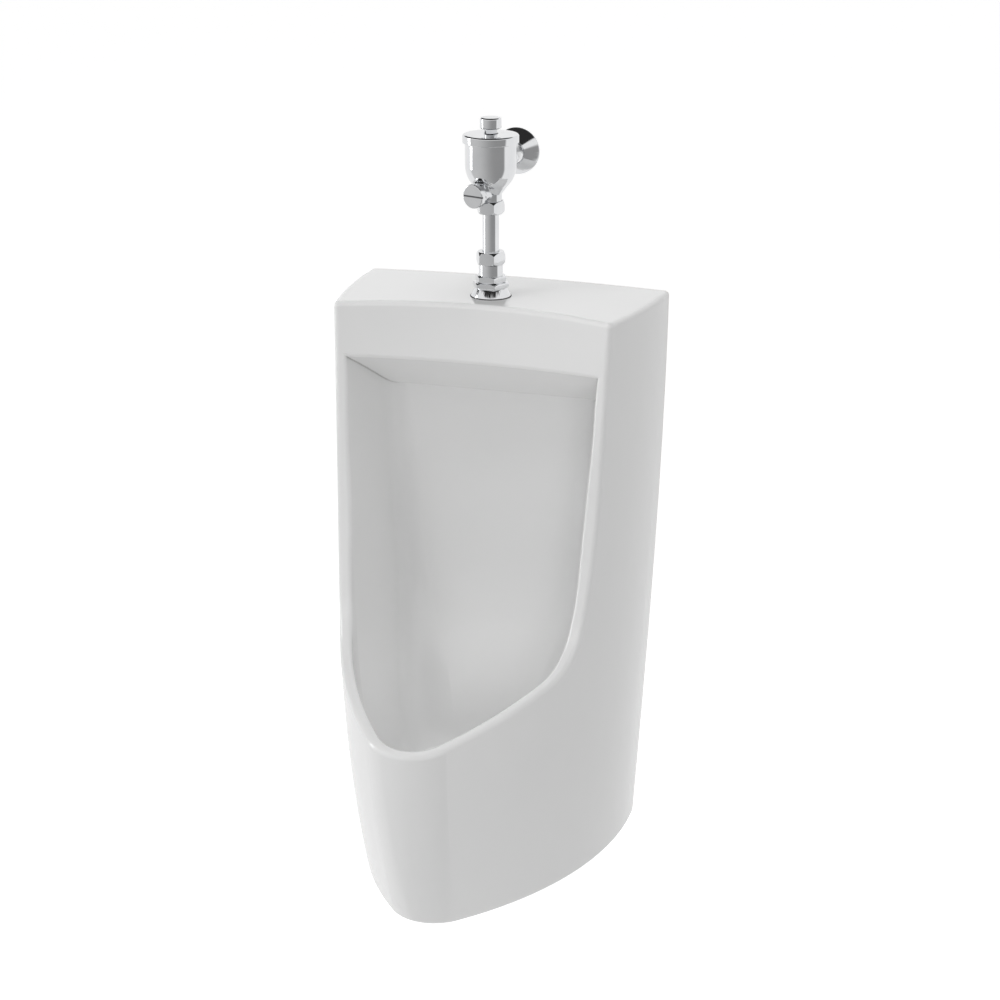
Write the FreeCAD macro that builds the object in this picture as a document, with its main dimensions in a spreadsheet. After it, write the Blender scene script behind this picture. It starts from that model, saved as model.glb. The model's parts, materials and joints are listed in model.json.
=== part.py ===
import FreeCAD, Part
import Sketcher
import math
import os
import re

# Wall-hung ceramic urinal with an exposed push-button flush valve on its deck.
# Millimetres. X is to the right seen from the front, +Y goes into the wall, +Z is up.
# The origin is on the wall plane and the mid-plane, in the middle of the header's back.
# Heights in the sheet are measured from the bottom of the casting, origin_height below the origin.

Vector = FreeCAD.Vector
Rotation = FreeCAD.Rotation
doc = FreeCAD.newDocument("Urinal")
sheet = doc.addObject("Spreadsheet::Sheet", "Dimensions")

# Driving dimensions: alias, value in millimetres or degrees
DIMENSIONS = [
    # Outer form of the casting at four levels, foot to deck
    ("origin_height", 540),
    ("body_height", 600),
    ("deck_crown", 3),
    ("envelope_top", 608),
    ("lip_level", 217),
    ("mid_level", 392),
    ("foot_half_width", 135),
    ("lip_half_width", 149.3),
    ("mid_half_width", 158.8),
    ("top_half_width", 165),
    ("foot_depth", 317),
    ("lip_depth", 370.5),
    ("mid_depth", 381.5),
    ("top_depth", 390.5),
    ("foot_nose", 47),
    ("lip_nose", 54),
    ("mid_nose", 60),
    ("top_nose", 66),
    ("foot_side", 390),
    ("lip_side", 479),
    ("mid_side", 553),
    ("top_side", 645),
    # Front edge of the sides, seen from the side
    ("rim_top_setback", 155.4),
    ("rim_straight_end", 432),
    ("rim_lean", 4.2),
    ("rim_bend_radius", 720),
    ("rim_knee_radius", 70),
    ("lip_slope", 16.2),
    ("lip_reach", 400),
    ("lip_reach_height", 197.5),
    ("wall_overrun", 5),
    # Header: bowed front face, sloped band under it, water chamber inside
    ("header_bottom", 542),
    ("header_corner", 146),
    ("header_bow", 21),
    ("band_bottom", 497),
    ("band_setback", 80),
    ("chamber_half_width", 110),
    ("chamber_front", 118),
    ("chamber_back", 20),
    ("chamber_floor", 540),
    ("deck_thickness", 14),
    ("flush_hole_radius", 2),
    ("flush_hole_pitch", 20),
    ("flush_hole_setback", 75.5),
    # Recess and bowl: back line, half widths, front line and corner radii at each level
    ("back_setback", 71),
    ("recess_front", 430),
    ("recess_top_back_half", 117),
    ("recess_top_front_half", 192),
    ("recess_low_level", 308),
    ("recess_low_back_half", 101),
    ("recess_low_front_half", 163),
    ("recess_corner", 26),
    ("bowl_lip_level", 205),
    ("bowl_lip_back", 98),
    ("bowl_lip_front", 372),
    ("bowl_lip_back_half", 86),
    ("bowl_lip_front_half", 107),
    ("bowl_low_level", 155),
    ("bowl_low_back", 128),
    ("bowl_low_front", 318),
    ("bowl_low_half", 70),
    ("bowl_floor", 128),
    ("bowl_floor_back", 155),
    ("bowl_floor_front", 262),
    ("bowl_floor_half", 47),
    ("bowl_corner", 40),
    # Walls of the casting
    ("rim_wall", 10),
    ("lip_wall", 12.5),
    ("skirt_wall", 14),
    ("bowl_wall", 12),
    ("hollow_top", 480),
    # Fixings at the wall
    ("lug_spacing", 210),
    ("lug_level", 90),
    ("lug_inner", 88),
    ("lug_outer", 133),
    ("lug_height", 40),
    ("lug_thickness", 14),
    ("lug_hole_radius", 5),
    ("hanger_spacing", 160),
    ("hanger_width", 44),
    ("hanger_gauge", 3),
    ("hanger_bottom", 400),
    ("hanger_top", 476),
    ("hanger_reach", 22),
    ("hanger_hook_top", 494),
    ("hanger_hole_radius", 2.75),
    ("hanger_hole_low", 416),
    ("hanger_hole_pitch", 36),
    ("hanger_pocket_gap", 3),
    # Spud in the deck, and the flush pipe above it, measured from the deck
    ("spud_setback", 88),
    ("spud_hole_radius", 19),
    ("spud_radius", 15.5),
    ("spud_wall", 1.9),
    ("spud_top", 6),
    ("spud_bottom", -34),
    ("spud_gasket_flange", 26),
    ("spud_gasket_thickness", 3),
    ("spud_locknut_corner", 27),
    ("spud_locknut_height", 10),
    ("escutcheon_base", 20.5),
    ("escutcheon_top", 16),
    ("escutcheon_height", 9.5),
    ("escutcheon_wall", 1.2),
    ("cover_nut_corner", 19.4),
    ("cover_nut_top", 15),
    ("adapter_hex_corner", 16.4),
    ("adapter_hex_top", 22),
    ("adapter_neck_radius", 12.4),
    ("adapter_neck_top", 33),
    ("adapter_thread_radius", 11.8),
    ("adapter_thread_top", 40),
    ("adapter_tail_radius", 13.3),
    ("adapter_tail_bottom", -24),
    ("pipe_radius", 8.4),
    ("pipe_wall", 1.2),
    ("pipe_bottom", 20),
    ("pipe_top", 92),
    ("pipe_collar_radius", 11.2),
    ("pipe_collar_height", 3),
    ("pipe_gap", 0.3),
    ("seal_height", 3),
    ("lower_nut_corner", 15.6),
    ("lower_nut_top", 46.5),
    ("upper_nut_corner", 14.8),
    ("upper_nut_bottom", 85.5),
    ("upper_nut_top", 98.7),
    ("thread_gap", 0.25),
    ("nut_chamfer", 2.2),
    ("nut_chamfer_rise", 1.3),
    ("union_chamfer_rise", 3.2),
    # Flush valve, measured from the deck
    ("valve_neck_bottom", 95),
    ("valve_neck_radius", 11.4),
    ("valve_neck_top", 105.5),
    ("valve_cone_radius", 17.4),
    ("valve_cone_top", 113.5),
    ("valve_bowl_radius", 30),
    ("valve_cup_radius", 26),
    ("valve_cup_start", 134.5),
    ("valve_cup_top", 161),
    ("valve_bore_radius", 20),
    ("valve_floor", 120),
    ("valve_throat_radius", 9),
    ("seat_recess_radius", 15),
    ("seat_recess_floor", 114),
    ("seat_bore", 9.5),
    ("seat_top", 121),
    ("seat_washer_radius", 15.5),
    ("piston_foot_radius", 16),
    ("piston_bottom", 123),
    ("piston_foot_top", 127),
    ("piston_waist_radius", 14.6),
    ("piston_head_bottom", 140),
    ("piston_head_radius", 19.4),
    ("piston_top", 147),
    ("piston_hollow_radius", 12.3),
    ("piston_hollow_floor", 126),
    ("packing_groove_radius", 16.4),
    ("packing_bottom", 142),
    ("packing_top", 145),
    ("packing_radius", 19.65),
    ("washer_screw_head", 6),
    ("washer_screw_shank", 3.6),
    ("washer_screw_drop", 2.5),
    ("cap_radius", 28.6),
    ("cap_bottom", 157),
    ("cap_shoulder", 163.8),
    ("cap_edge_radius", 2),
    ("cap_crown", 0.3),
    ("cap_plate_bottom", 162.5),
    ("cap_bore_radius", 7.2),
    ("cap_boss_radius", 10),
    ("cap_boss_bottom", 143),
    ("cap_shelf_top", 148),
    ("cap_rod_hole", 3.2),
    ("cap_gasket_inner", 20.6),
    ("button_radius", 10.9),
    ("button_bottom", 171.6),
    ("button_top", 182.6),
    ("button_round", 2),
    ("button_neck_radius", 6.6),
    ("button_neck_bottom", 158),
    ("button_rod_radius", 2.8),
    ("button_rod_bottom", 137),
    ("button_oring_level", 160.5),
    ("button_oring_ring", 8.05),
    ("button_oring_section", 0.75),
    ("pilot_seal_radius", 6),
    ("pilot_seal_bottom", 139.5),
    ("pilot_seal_top", 142.7),
    ("pilot_nut_corner", 4.6),
    ("spring_radius", 4.9),
    ("spring_wire", 0.5),
    ("spring_turns", 4),
    # Flow regulator on the valve's throat, measured out from the valve's axis
    ("regulator_level", 107.2),
    ("regulator_turned", 18),
    ("regulator_boss_radius", 8.2),
    ("regulator_boss_end", 21),
    ("regulator_bore", 5.8),
    ("gland_corner", 12),
    ("gland_end", 24.2),
    ("gland_tail_radius", 5.6),
    ("gland_tail_start", 12),
    ("gland_bore", 3.8),
    ("gland_oring_bore", 4.9),
    ("gland_oring_end", 14),
    ("spindle_radius", 3.5),
    ("spindle_screw_radius", 2.6),
    ("spindle_screw_start", 5.3),
    ("spindle_head_radius", 12.2),
    ("spindle_head_start", 24.6),
    ("spindle_head_end", 31),
    ("spindle_head_round", 1.2),
    ("spindle_slot_width", 1.7),
    ("spindle_slot_depth", 1.6),
    ("plug_radius", 5.5),
    ("plug_start", 4),
    ("plug_end", 11),
    ("plug_bore", 2.9),
    # Supply inlet at the wall, measured from the valve's axis towards the wall
    ("inlet_level", 133.7),
    ("inlet_boss_radius", 11.6),
    ("inlet_boss_end", 34),
    ("inlet_bore", 7.5),
    ("inlet_washer_height", 2),
    ("inlet_nut_corner", 15.6),
    ("inlet_nut_start", 28.5),
    ("inlet_nut_end", 48),
    ("nipple_radius", 10.1),
    ("nipple_end_radius", 10.48),
    ("nipple_collar_radius", 11.5),
    ("nipple_collar_height", 3.5),
    ("nipple_past_wall", 15),
    ("flange_radius", 24.3),
    ("flange_edge", 2.5),
    ("flange_neck_radius", 12.2),
    ("flange_depth", 14.5),
    ("flange_wall", 1.3),
    # Waste and bottle trap inside the skirt
    ("drain_setback", 206),
    ("drain_hole_radius", 24),
    ("waste_radius", 22.5),
    ("waste_bore", 19.5),
    ("waste_bottom", 28),
    ("waste_gasket_thickness", 2),
    ("waste_flange_radius", 32),
    ("waste_flange_thickness", 3),
    ("strainer_radius", 28),
    ("strainer_recess", 2),
    ("strainer_hole_radius", 3.6),
    ("strainer_hole_circle", 13),
    ("strainer_hole_count", 8),
    ("strainer_bar_top", 121),
    ("strainer_bar_height", 4),
    ("strainer_bar_width", 9),
    ("strainer_screw_head", 5.2),
    ("strainer_screw_radius", 2.4),
    ("waste_fit", 0.3),
    ("waste_washer_radius", 34),
    ("waste_washer_thickness", 4),
    ("backnut_corner", 38),
    ("backnut_height", 10),
    ("trap_radius", 32),
    ("trap_wall", 3),
    ("trap_bottom", 30),
    ("trap_shoulder", 73),
    ("trap_neck_radius", 27),
    ("trap_neck_top", 81),
    ("trap_nut_corner", 34.5),
    ("trap_nut_bottom", 74),
    ("trap_nut_top", 88),
    ("cup_bottom", 10),
    ("cup_screw_radius", 28.7),
    ("cup_screw_top", 35),
    ("cup_seal_thickness", 1),
    ("outlet_level", 50.5),
    ("outlet_branch_radius", 19),
    ("outlet_branch_end", 48),
    ("outlet_pipe_radius", 16),
    ("outlet_pipe_wall", 1.6),
    ("outlet_pipe_start", 38),
    ("outlet_end_gap", 1),
    ("outlet_nut_corner", 25.5),
    ("outlet_nut_start", 40),
    ("outlet_nut_end", 57),
    ("collar_radius", 30),
    ("collar_thickness", 6),
    # Soft edges of the glaze
    ("outer_round", 5),
    ("inner_round", 4),
    ("shoulder_round", 38),
]

for row, (alias, number) in enumerate(DIMENSIONS, start=1):
    sheet.set(f"A{row}", alias)
    sheet.set(f"B{row}", str(number))
    sheet.setAlias(f"B{row}", alias)
doc.recompute()

FUNCTIONS = {"sqrt", "tan", "cos", "sin", "deg"}
WORD = re.compile(r"[a-z_]+")
SUBPARTS = []


def expression(text):
    """A formula of sheet aliases, written the way the document's expressions name cells."""
    return WORD.sub(lambda word: word[0] if word[0] in FUNCTIONS else f"Dimensions.{word[0]}", text)


def value(text):
    """The number that a formula of sheet aliases gives."""
    return float(sheet.evalExpression(expression(text)))


def bind(thing, **formulas):
    """Ties properties of a document object to formulas of sheet aliases."""
    for name, text in formulas.items():
        thing.setExpression(name, expression(text))
    return thing


def place(thing, x="0", y="0", z="0", turn=None):
    """Ties an object's place to the sheet, after giving it a turn."""
    if turn is not None:
        thing.Placement = FreeCAD.Placement(Vector(), turn)
    for axis, text in (("x", x), ("y", y), ("z", z)):
        thing.setExpression(f"Placement.Base.{axis}", expression(text))
    return thing


def subpart(thing, label):
    """Names an object as one piece of the assembly."""
    thing.Label = label
    SUBPARTS.append(thing)
    return thing


# Sketch outlines

def edge_between(start, end, radius, turn):
    """A sketch edge from start to end, straight or an arc, and the numbers of its two ends."""
    if radius is None:
        return Part.LineSegment(start, end), 1, 2
    chord = end - start
    rise = math.sqrt(max(radius ** 2 - chord.Length ** 2 / 4, 0.0))
    left = Vector(-chord.y, chord.x, 0).normalize()
    centre = (start + end) * 0.5 + left * (rise * turn)
    angles = [math.atan2(p.y - centre.y, p.x - centre.x) for p in (start, end)]
    circle = Part.Circle(centre, Vector(0, 0, 1), radius)
    if turn > 0:
        return Part.ArcOfCircle(circle, angles[0], angles[1]), 1, 2
    return Part.ArcOfCircle(circle, angles[1], angles[0]), 2, 1


def pin_point(sketch, edge, end, axis, text):
    """Holds one coordinate of a sketch point at a formula of sheet aliases."""
    size = value(text)
    if abs(size) < 1e-9:
        line = -2 if axis == "X" else -1
        sketch.addConstraint(Sketcher.Constraint("PointOnObject", edge, end, line))
        return
    number = sketch.addConstraint(Sketcher.Constraint("Distance" + axis, -1, 1, edge, end, size))
    sketch.setExpression(f"Constraints[{number}]", expression(text))


def pin_radius(sketch, edge, text):
    """Holds an arc's radius at a formula of sheet aliases."""
    number = sketch.addConstraint(Sketcher.Constraint("Radius", edge, value(text)))
    sketch.setExpression(f"Constraints[{number}]", expression(text))


def draw_outline(sketch, corners):
    """A closed outline. A corner is (x, y), or (x, y, radius, turn) where an arc leaves it."""
    points = [Vector(value(c[0]), value(c[1]), 0) for c in corners]
    ends = []
    for index, corner in enumerate(corners):
        radius, turn = (value(corner[2]), corner[3]) if len(corner) == 4 else (None, 0)
        following = points[(index + 1) % len(points)]
        shape, first, last = edge_between(points[index], following, radius, turn)
        ends.append((sketch.addGeometry(shape), first, last))
    for index, corner in enumerate(corners):
        edge, first, _ = ends[index]
        before, _, last = ends[index - 1]
        sketch.addConstraint(Sketcher.Constraint("Coincident", before, last, edge, first))
        pin_point(sketch, edge, first, "X", corner[0])
        pin_point(sketch, edge, first, "Y", corner[1])
        if len(corner) == 4:
            pin_radius(sketch, edge, corner[2])


def plane_of(body, role):
    """One of a body's own origin planes."""
    return next(f for f in body.Origin.OriginFeatures if f.Role == role)


def turned(name, corners):
    """A body turned about its own Z axis from an outline of (radius, height) corners."""
    body = doc.addObject("PartDesign::Body", name)
    sketch = body.newObject("Sketcher::SketchObject", name + "_profile")
    sketch.AttachmentSupport = [(plane_of(body, "XZ_Plane"), "")]
    sketch.MapMode = "FlatFace"
    draw_outline(sketch, corners)
    revolution = body.newObject("PartDesign::Revolution", name + "_turning")
    revolution.Profile = sketch
    revolution.ReferenceAxis = (sketch, ["V_Axis"])
    revolution.Angle = 360
    return body


def ring(name, inner, outer, bottom, top):
    """A plain turned ring."""
    return turned(name, [(inner, bottom), (outer, bottom), (outer, top), (inner, top)])


def cylinder(name, radius, height, **where):
    """A cylinder bound to the sheet."""
    made = bind(doc.addObject("Part::Cylinder", name), Radius=radius, Height=height)
    return place(made, **where)


def box(name, low, high):
    """A box between two corners, each three formulas of sheet aliases."""
    made = doc.addObject("Part::Box", name)
    sizes = [f"({b}) - ({a})" for a, b in zip(low, high)]
    bind(made, Length=sizes[0], Width=sizes[1], Height=sizes[2])
    return place(made, *low)


def cut(name, base, tool):
    made = doc.addObject("Part::Cut", name)
    made.Base = base
    made.Tool = tool
    return made


def fuse(name, *shapes):
    made = doc.addObject("Part::MultiFuse", name)
    made.Shapes = list(shapes)
    return made


def common(name, *shapes):
    made = doc.addObject("Part::MultiCommon", name)
    made.Shapes = list(shapes)
    return made


def hex_prism(name, corner, bottom, top):
    """A six-sided prism about its own Z axis, a corner on X."""
    made = doc.addObject("Part::Prism", name)
    made.Polygon = 6
    bind(made, Circumradius=corner, Height=f"({top}) - ({bottom})")
    return place(made, z=bottom)


def hex_piece(name, corner, corners, bottom, top):
    """A turned piece with six flats milled over the height from bottom to top."""
    blank = turned(name + "_blank", corners)
    flats = hex_prism(name + "_flats", corner, bottom, top)
    return common(name, blank, flats)


ON_DECK = {"y": "-spud_setback", "z": "body_height - origin_height"}
TOWARDS_WALL = Rotation(Vector(1, 0, 0), -90)


def chamfered(corner, bottom, top, rise="nut_chamfer_rise"):
    """The outer corners of a nut's blank, chamfered at both ends, from bottom to top."""
    return [
        (f"{corner} - nut_chamfer", bottom),
        (corner, f"({bottom}) + {rise}"),
        (corner, f"({top}) - {rise}"),
        (f"{corner} - nut_chamfer", top),
    ]


# Ceramic casting

def tangent(sketch, one, one_end, two, two_end):
    sketch.addConstraint(Sketcher.Constraint("Tangent", one, one_end, two, two_end))


def envelope_section(name, level, half_width, depth, nose, side, back="0"):
    """A plan outline of the casting: back line, two bowed sides and a round nose, all tangent."""
    sketch = place(doc.addObject("Sketcher::SketchObject", name), z=level)
    w, d, r, big, rear = (value(t) for t in (half_width, depth, nose, side, back))
    # The side arc's centre is one side radius from the back corner and tangent to the nose inside
    nose_centre = Vector(0, r - d, 0)
    corner = Vector(w, rear, 0)
    reach = nose_centre - corner
    along = (big ** 2 - (big - r) ** 2 + reach.Length ** 2) / (2 * reach.Length)
    off = math.sqrt(big ** 2 - along ** 2)
    unit = Vector(reach).normalize()
    side_centre = corner + unit * along + Vector(unit.y, -unit.x, 0) * off
    spread = (nose_centre - side_centre).normalize()
    touch = nose_centre + spread * r
    up = Vector(0, 0, 1)

    def mirrored(point):
        return Vector(-point.x, point.y, 0)

    def angle(centre, point):
        return math.atan2(point.y - centre.y, point.x - centre.x)

    back_line = sketch.addGeometry(Part.LineSegment(mirrored(corner), corner))
    right_circle = Part.Circle(side_centre, up, big)
    right_angles = angle(side_centre, touch), angle(side_centre, corner)
    right = sketch.addGeometry(Part.ArcOfCircle(right_circle, *right_angles))
    nose_circle = Part.Circle(nose_centre, up, r)
    nose_angles = angle(nose_centre, mirrored(touch)), angle(nose_centre, touch)
    tip = sketch.addGeometry(Part.ArcOfCircle(nose_circle, *nose_angles))
    left_circle = Part.Circle(mirrored(side_centre), up, big)
    left_angles = [angle(mirrored(side_centre), mirrored(p)) for p in (corner, touch)]
    left = sketch.addGeometry(Part.ArcOfCircle(left_circle, *left_angles))
    sketch.addConstraint(Sketcher.Constraint("Coincident", back_line, 2, right, 2))
    sketch.addConstraint(Sketcher.Constraint("Coincident", back_line, 1, left, 1))
    tangent(sketch, right, 1, tip, 2)
    tangent(sketch, tip, 1, left, 2)
    for end, text in ((1, f"-({half_width})"), (2, half_width)):
        pin_point(sketch, back_line, end, "X", text)
        pin_point(sketch, back_line, end, "Y", back)
    sketch.addConstraint(Sketcher.Constraint("PointOnObject", tip, 3, -2))
    pin_point(sketch, tip, 3, "Y", f"({nose}) - ({depth})")
    pin_radius(sketch, tip, nose)
    pin_radius(sketch, right, side)
    sketch.addConstraint(Sketcher.Constraint("Equal", right, left))
    return sketch


def loft(name, sections, ruled=False):
    made = doc.addObject("Part::Loft", name)
    made.Sections = sections
    made.Solid = True
    made.Ruled = ruled
    return made


def envelope(name, levels, back):
    """The casting's outer form at named levels, drawn in by an inset at each."""
    sections = []
    for stage, level, inset in levels:
        sections.append(
            envelope_section(
                f"{name}_{stage}",
                level,
                f"{stage}_half_width - {inset}",
                f"{stage}_depth - {inset}",
                f"{stage}_nose - {inset}",
                f"{stage}_side - {inset}",
                back,
            )
        )
    return loft(name, sections)


def stages(foot, low_inset, high_inset):
    """The levels of the outer form from a foot level up, with the inset below and above the lip."""
    return [
        ("foot", foot, low_inset),
        ("lip", "lip_level", low_inset),
        ("mid", "mid_level", high_inset),
        ("top", "envelope_top", high_inset),
    ]


def recess_section(name, level, back, front, back_half, front_half, radius, grow="0"):
    """A plan outline of the recess: back and front lines, flared sides, four round corners."""
    sketch = place(doc.addObject("Sketcher::SketchObject", name), z=level)
    formulas = (back, front, back_half, front_half, radius, grow)
    rear, fore, narrow, wide, r, more = (value(text) for text in formulas)
    rear, fore, narrow, wide, r = -rear + more, -fore - more, narrow + more, wide + more, r + more
    corners = [Vector(-narrow, rear), Vector(narrow, rear), Vector(wide, fore), Vector(-wide, fore)]
    lines = []
    cuts = []
    for index, corner in enumerate(corners):
        before = (corners[index - 1] - corner).normalize()
        after = (corners[(index + 1) % 4] - corner).normalize()
        half_angle = before.getAngle(after) / 2
        trim = r / math.tan(half_angle)
        bisector = (before + after).normalize()
        centre = corner + bisector * (r / math.sin(half_angle))
        cuts.append((corner + before * trim, corner + after * trim, centre))
    for index in range(4):
        lines.append(sketch.addGeometry(Part.LineSegment(cuts[index][1], cuts[(index + 1) % 4][0])))
    arcs = []
    for first, last, centre in cuts:
        circle = Part.Circle(centre, Vector(0, 0, 1), r)
        angles = [math.atan2(p.y - centre.y, p.x - centre.x) for p in (last, first)]
        arcs.append(sketch.addGeometry(Part.ArcOfCircle(circle, *angles)))
    for index in range(4):
        tangent(sketch, lines[index - 1], 2, arcs[index], 2)
        tangent(sketch, arcs[index], 1, lines[index], 1)
    for index in (0, 2):
        sketch.addConstraint(Sketcher.Constraint("Horizontal", lines[index]))
    pin_point(sketch, lines[0], 1, "Y", f"({grow}) - ({back})")
    pin_point(sketch, lines[2], 1, "Y", f"-({front}) - ({grow})")
    pin_radius(sketch, arcs[0], f"({radius}) + ({grow})")
    for index in (1, 2, 3):
        sketch.addConstraint(Sketcher.Constraint("Equal", arcs[0], arcs[index]))
    for index, text in ((0, back_half), (2, front_half)):
        sign = -1 if index == 0 else 1
        centre_x = abs(cuts[index][2].x)
        for arc, side in ((index, sign), (index + 1, -sign)):
            formula = f"{side} * (({text}) + ({grow}) - {value(text) + more - centre_x:.6f})"
            pin_point(sketch, arcs[arc], 3, "X", formula)
    return sketch


def recess(name, grow):
    """The space inside the casting: a flat-backed recess over a bowl that closes in to the drain."""

    def upper(stage, level, share):
        back_half = f"recess_low_back_half + (recess_top_back_half - recess_low_back_half) * {share}"
        front_half = f"recess_low_front_half + (recess_top_front_half - recess_low_front_half) * {share}"
        return (stage, level, "back_setback", "recess_front", back_half, front_half, "recess_corner")

    stages = [
        ("floor", f"bowl_floor - ({grow})", "bowl_floor_back", "bowl_floor_front", "bowl_floor_half",
         "bowl_floor_half", "bowl_corner"),
        ("dish", "bowl_low_level", "bowl_low_back", "bowl_low_front", "bowl_low_half",
         "bowl_low_half", "bowl_corner"),
        ("lip", "bowl_lip_level", "bowl_lip_back", "bowl_lip_front", "bowl_lip_back_half",
         "bowl_lip_front_half", "bowl_corner"),
    ]
    for step in range(5):
        share = step / 4
        level = f"recess_low_level + (header_bottom + 5 - recess_low_level) * {share}"
        stages.append(upper(f"upper_{step}", level, share))
    return loft(name, [recess_section(f"{name}_{stage[0]}", *stage[1:], grow) for stage in stages])


def rim_setback(level):
    """How far the straight upper part of the rims stands from the wall at a level."""
    return f"(rim_top_setback + (body_height - ({level})) * tan(rim_lean * 1 deg))"


def bowed_section(name, level, setback, bow, far):
    """A plan outline with an edge bowed back across the header, or straight, and a far side."""
    sketch = place(doc.addObject("Sketcher::SketchObject", name), z=level)
    half = "(top_half_width + 40)"
    if bow is None:
        first = (f"-{half}", f"-({setback})")
    else:
        radius = f"((header_corner ^ 2 + ({bow}) ^ 2) / (2 * ({bow})))"
        end = f"({bow}) - ({setback}) - {radius} + sqrt({radius} ^ 2 - {half} ^ 2)"
        first = (f"-{half}", end, radius, -1)
    draw_outline(sketch, [first, (half, first[1]), (half, far), (f"-{half}", far)])
    return sketch


def extruded(name, sketch, length):
    """A sketch pushed the same way to both sides of its plane."""
    made = doc.addObject("Part::Extrusion", name)
    made.Base = sketch
    made.DirMode = "Normal"
    made.Solid = True
    made.Symmetric = True
    return bind(made, LengthFwd=length)


def crown_cutter():
    """What is above the deck, which is slightly crowned from side to side."""
    sketch = doc.addObject("Sketcher::SketchObject", "crown_outline")
    sketch.Placement = FreeCAD.Placement(Vector(), Rotation(Vector(1, 0, 0), 90))
    half = "(top_half_width + 40)"
    radius = "((top_half_width ^ 2 + deck_crown ^ 2) / (2 * deck_crown))"
    end = f"body_height - {radius} + sqrt({radius} ^ 2 - {half} ^ 2)"
    over = "envelope_top + 20"
    draw_outline(sketch, [(f"-{half}", end, radius, -1), (half, end), (half, over), (f"-{half}", over)])
    return extruded("crown_cutter", sketch, "top_depth * 3")


def rim_cutter():
    """What is in front of the curved lower rims and above the lip, as a side view."""
    sketch = doc.addObject("Sketcher::SketchObject", "rim_outline")
    sketch.Placement = FreeCAD.Placement(Vector(), Rotation(Vector(1, 1, 1), 120))
    lean, slope = math.radians(value("rim_lean")), math.radians(value("lip_slope"))
    bend = Vector(-value(rim_setback("rim_straight_end")), value("rim_straight_end"), 0)
    bend_radius, knee = value("rim_bend_radius"), value("rim_knee_radius")
    bend_centre = bend + Vector(-math.cos(lean), math.sin(lean), 0) * bend_radius
    far = Vector(-value("lip_reach"), value("lip_reach_height"), 0)
    # The knee's centre is one knee radius above the lip's slope and inside the long bend
    along = Vector(math.cos(slope), math.sin(slope), 0)
    above = Vector(-math.sin(slope), math.cos(slope), 0)
    base = far + above * knee - bend_centre
    half = base.dot(along)
    reach = -half + math.sqrt(half ** 2 - base.dot(base) + (bend_radius - knee) ** 2)
    knee_centre = far + above * knee + along * reach
    knee_start = bend_centre + (knee_centre - bend_centre).normalize() * bend_radius
    knee_end = knee_centre - above * knee

    def arc(centre, radius, first, last):
        angles = [math.atan2(p.y - centre.y, p.x - centre.x) for p in (first, last)]
        circle = Part.Circle(centre, Vector(0, 0, 1), radius)
        return sketch.addGeometry(Part.ArcOfCircle(circle, *angles))

    top = sketch.addGeometry(Part.LineSegment(Vector(far.x, bend.y, 0), bend))
    long_bend = arc(bend_centre, bend_radius, knee_start, bend)
    short_bend = arc(knee_centre, knee, knee_end, knee_start)
    lip = sketch.addGeometry(Part.LineSegment(knee_end, far))
    front = sketch.addGeometry(Part.LineSegment(far, Vector(far.x, bend.y, 0)))
    sketch.addConstraint(Sketcher.Constraint("Coincident", top, 2, long_bend, 2))
    sketch.addConstraint(Sketcher.Constraint("Coincident", lip, 2, front, 1))
    sketch.addConstraint(Sketcher.Constraint("Coincident", front, 2, top, 1))
    tangent(sketch, long_bend, 1, short_bend, 2)
    tangent(sketch, short_bend, 1, lip, 1)
    sketch.addConstraint(Sketcher.Constraint("Horizontal", top))
    sketch.addConstraint(Sketcher.Constraint("Vertical", front))
    pin_point(sketch, top, 2, "X", f"-{rim_setback('rim_straight_end')}")
    pin_point(sketch, top, 2, "Y", "rim_straight_end")
    pin_radius(sketch, long_bend, "rim_bend_radius")
    pin_point(sketch, long_bend, 3, "Y", "rim_straight_end + rim_bend_radius * sin(rim_lean * 1 deg)")
    pin_radius(sketch, short_bend, "rim_knee_radius")
    pin_point(sketch, lip, 2, "X", "-lip_reach")
    pin_point(sketch, lip, 2, "Y", "lip_reach_height")
    return extruded("rim_cutter", sketch, "top_half_width * 3")


def lies_on(edge, thing):
    """Whether an edge runs along the faces of a document object."""
    faces = Part.Compound(thing.Shape.Faces)
    span = edge.LastParameter - edge.FirstParameter
    points = [Part.Vertex(edge.valueAt(edge.FirstParameter + span * share)) for share in (0.2, 0.5, 0.8)]
    return all(faces.distToShape(point)[0] < 0.02 for point in points)


def rounded(name, base, radius, wanted):
    """A base with the edges that a rule picks out rounded to one radius."""
    doc.recompute()
    size = value(radius)
    chosen = [number for number, edge in enumerate(base.Shape.Edges, start=1) if wanted(edge)]
    made = doc.addObject("Part::Fillet", name)
    made.Base = base
    made.Edges = [(number, size, size) for number in chosen]
    return made


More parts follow.
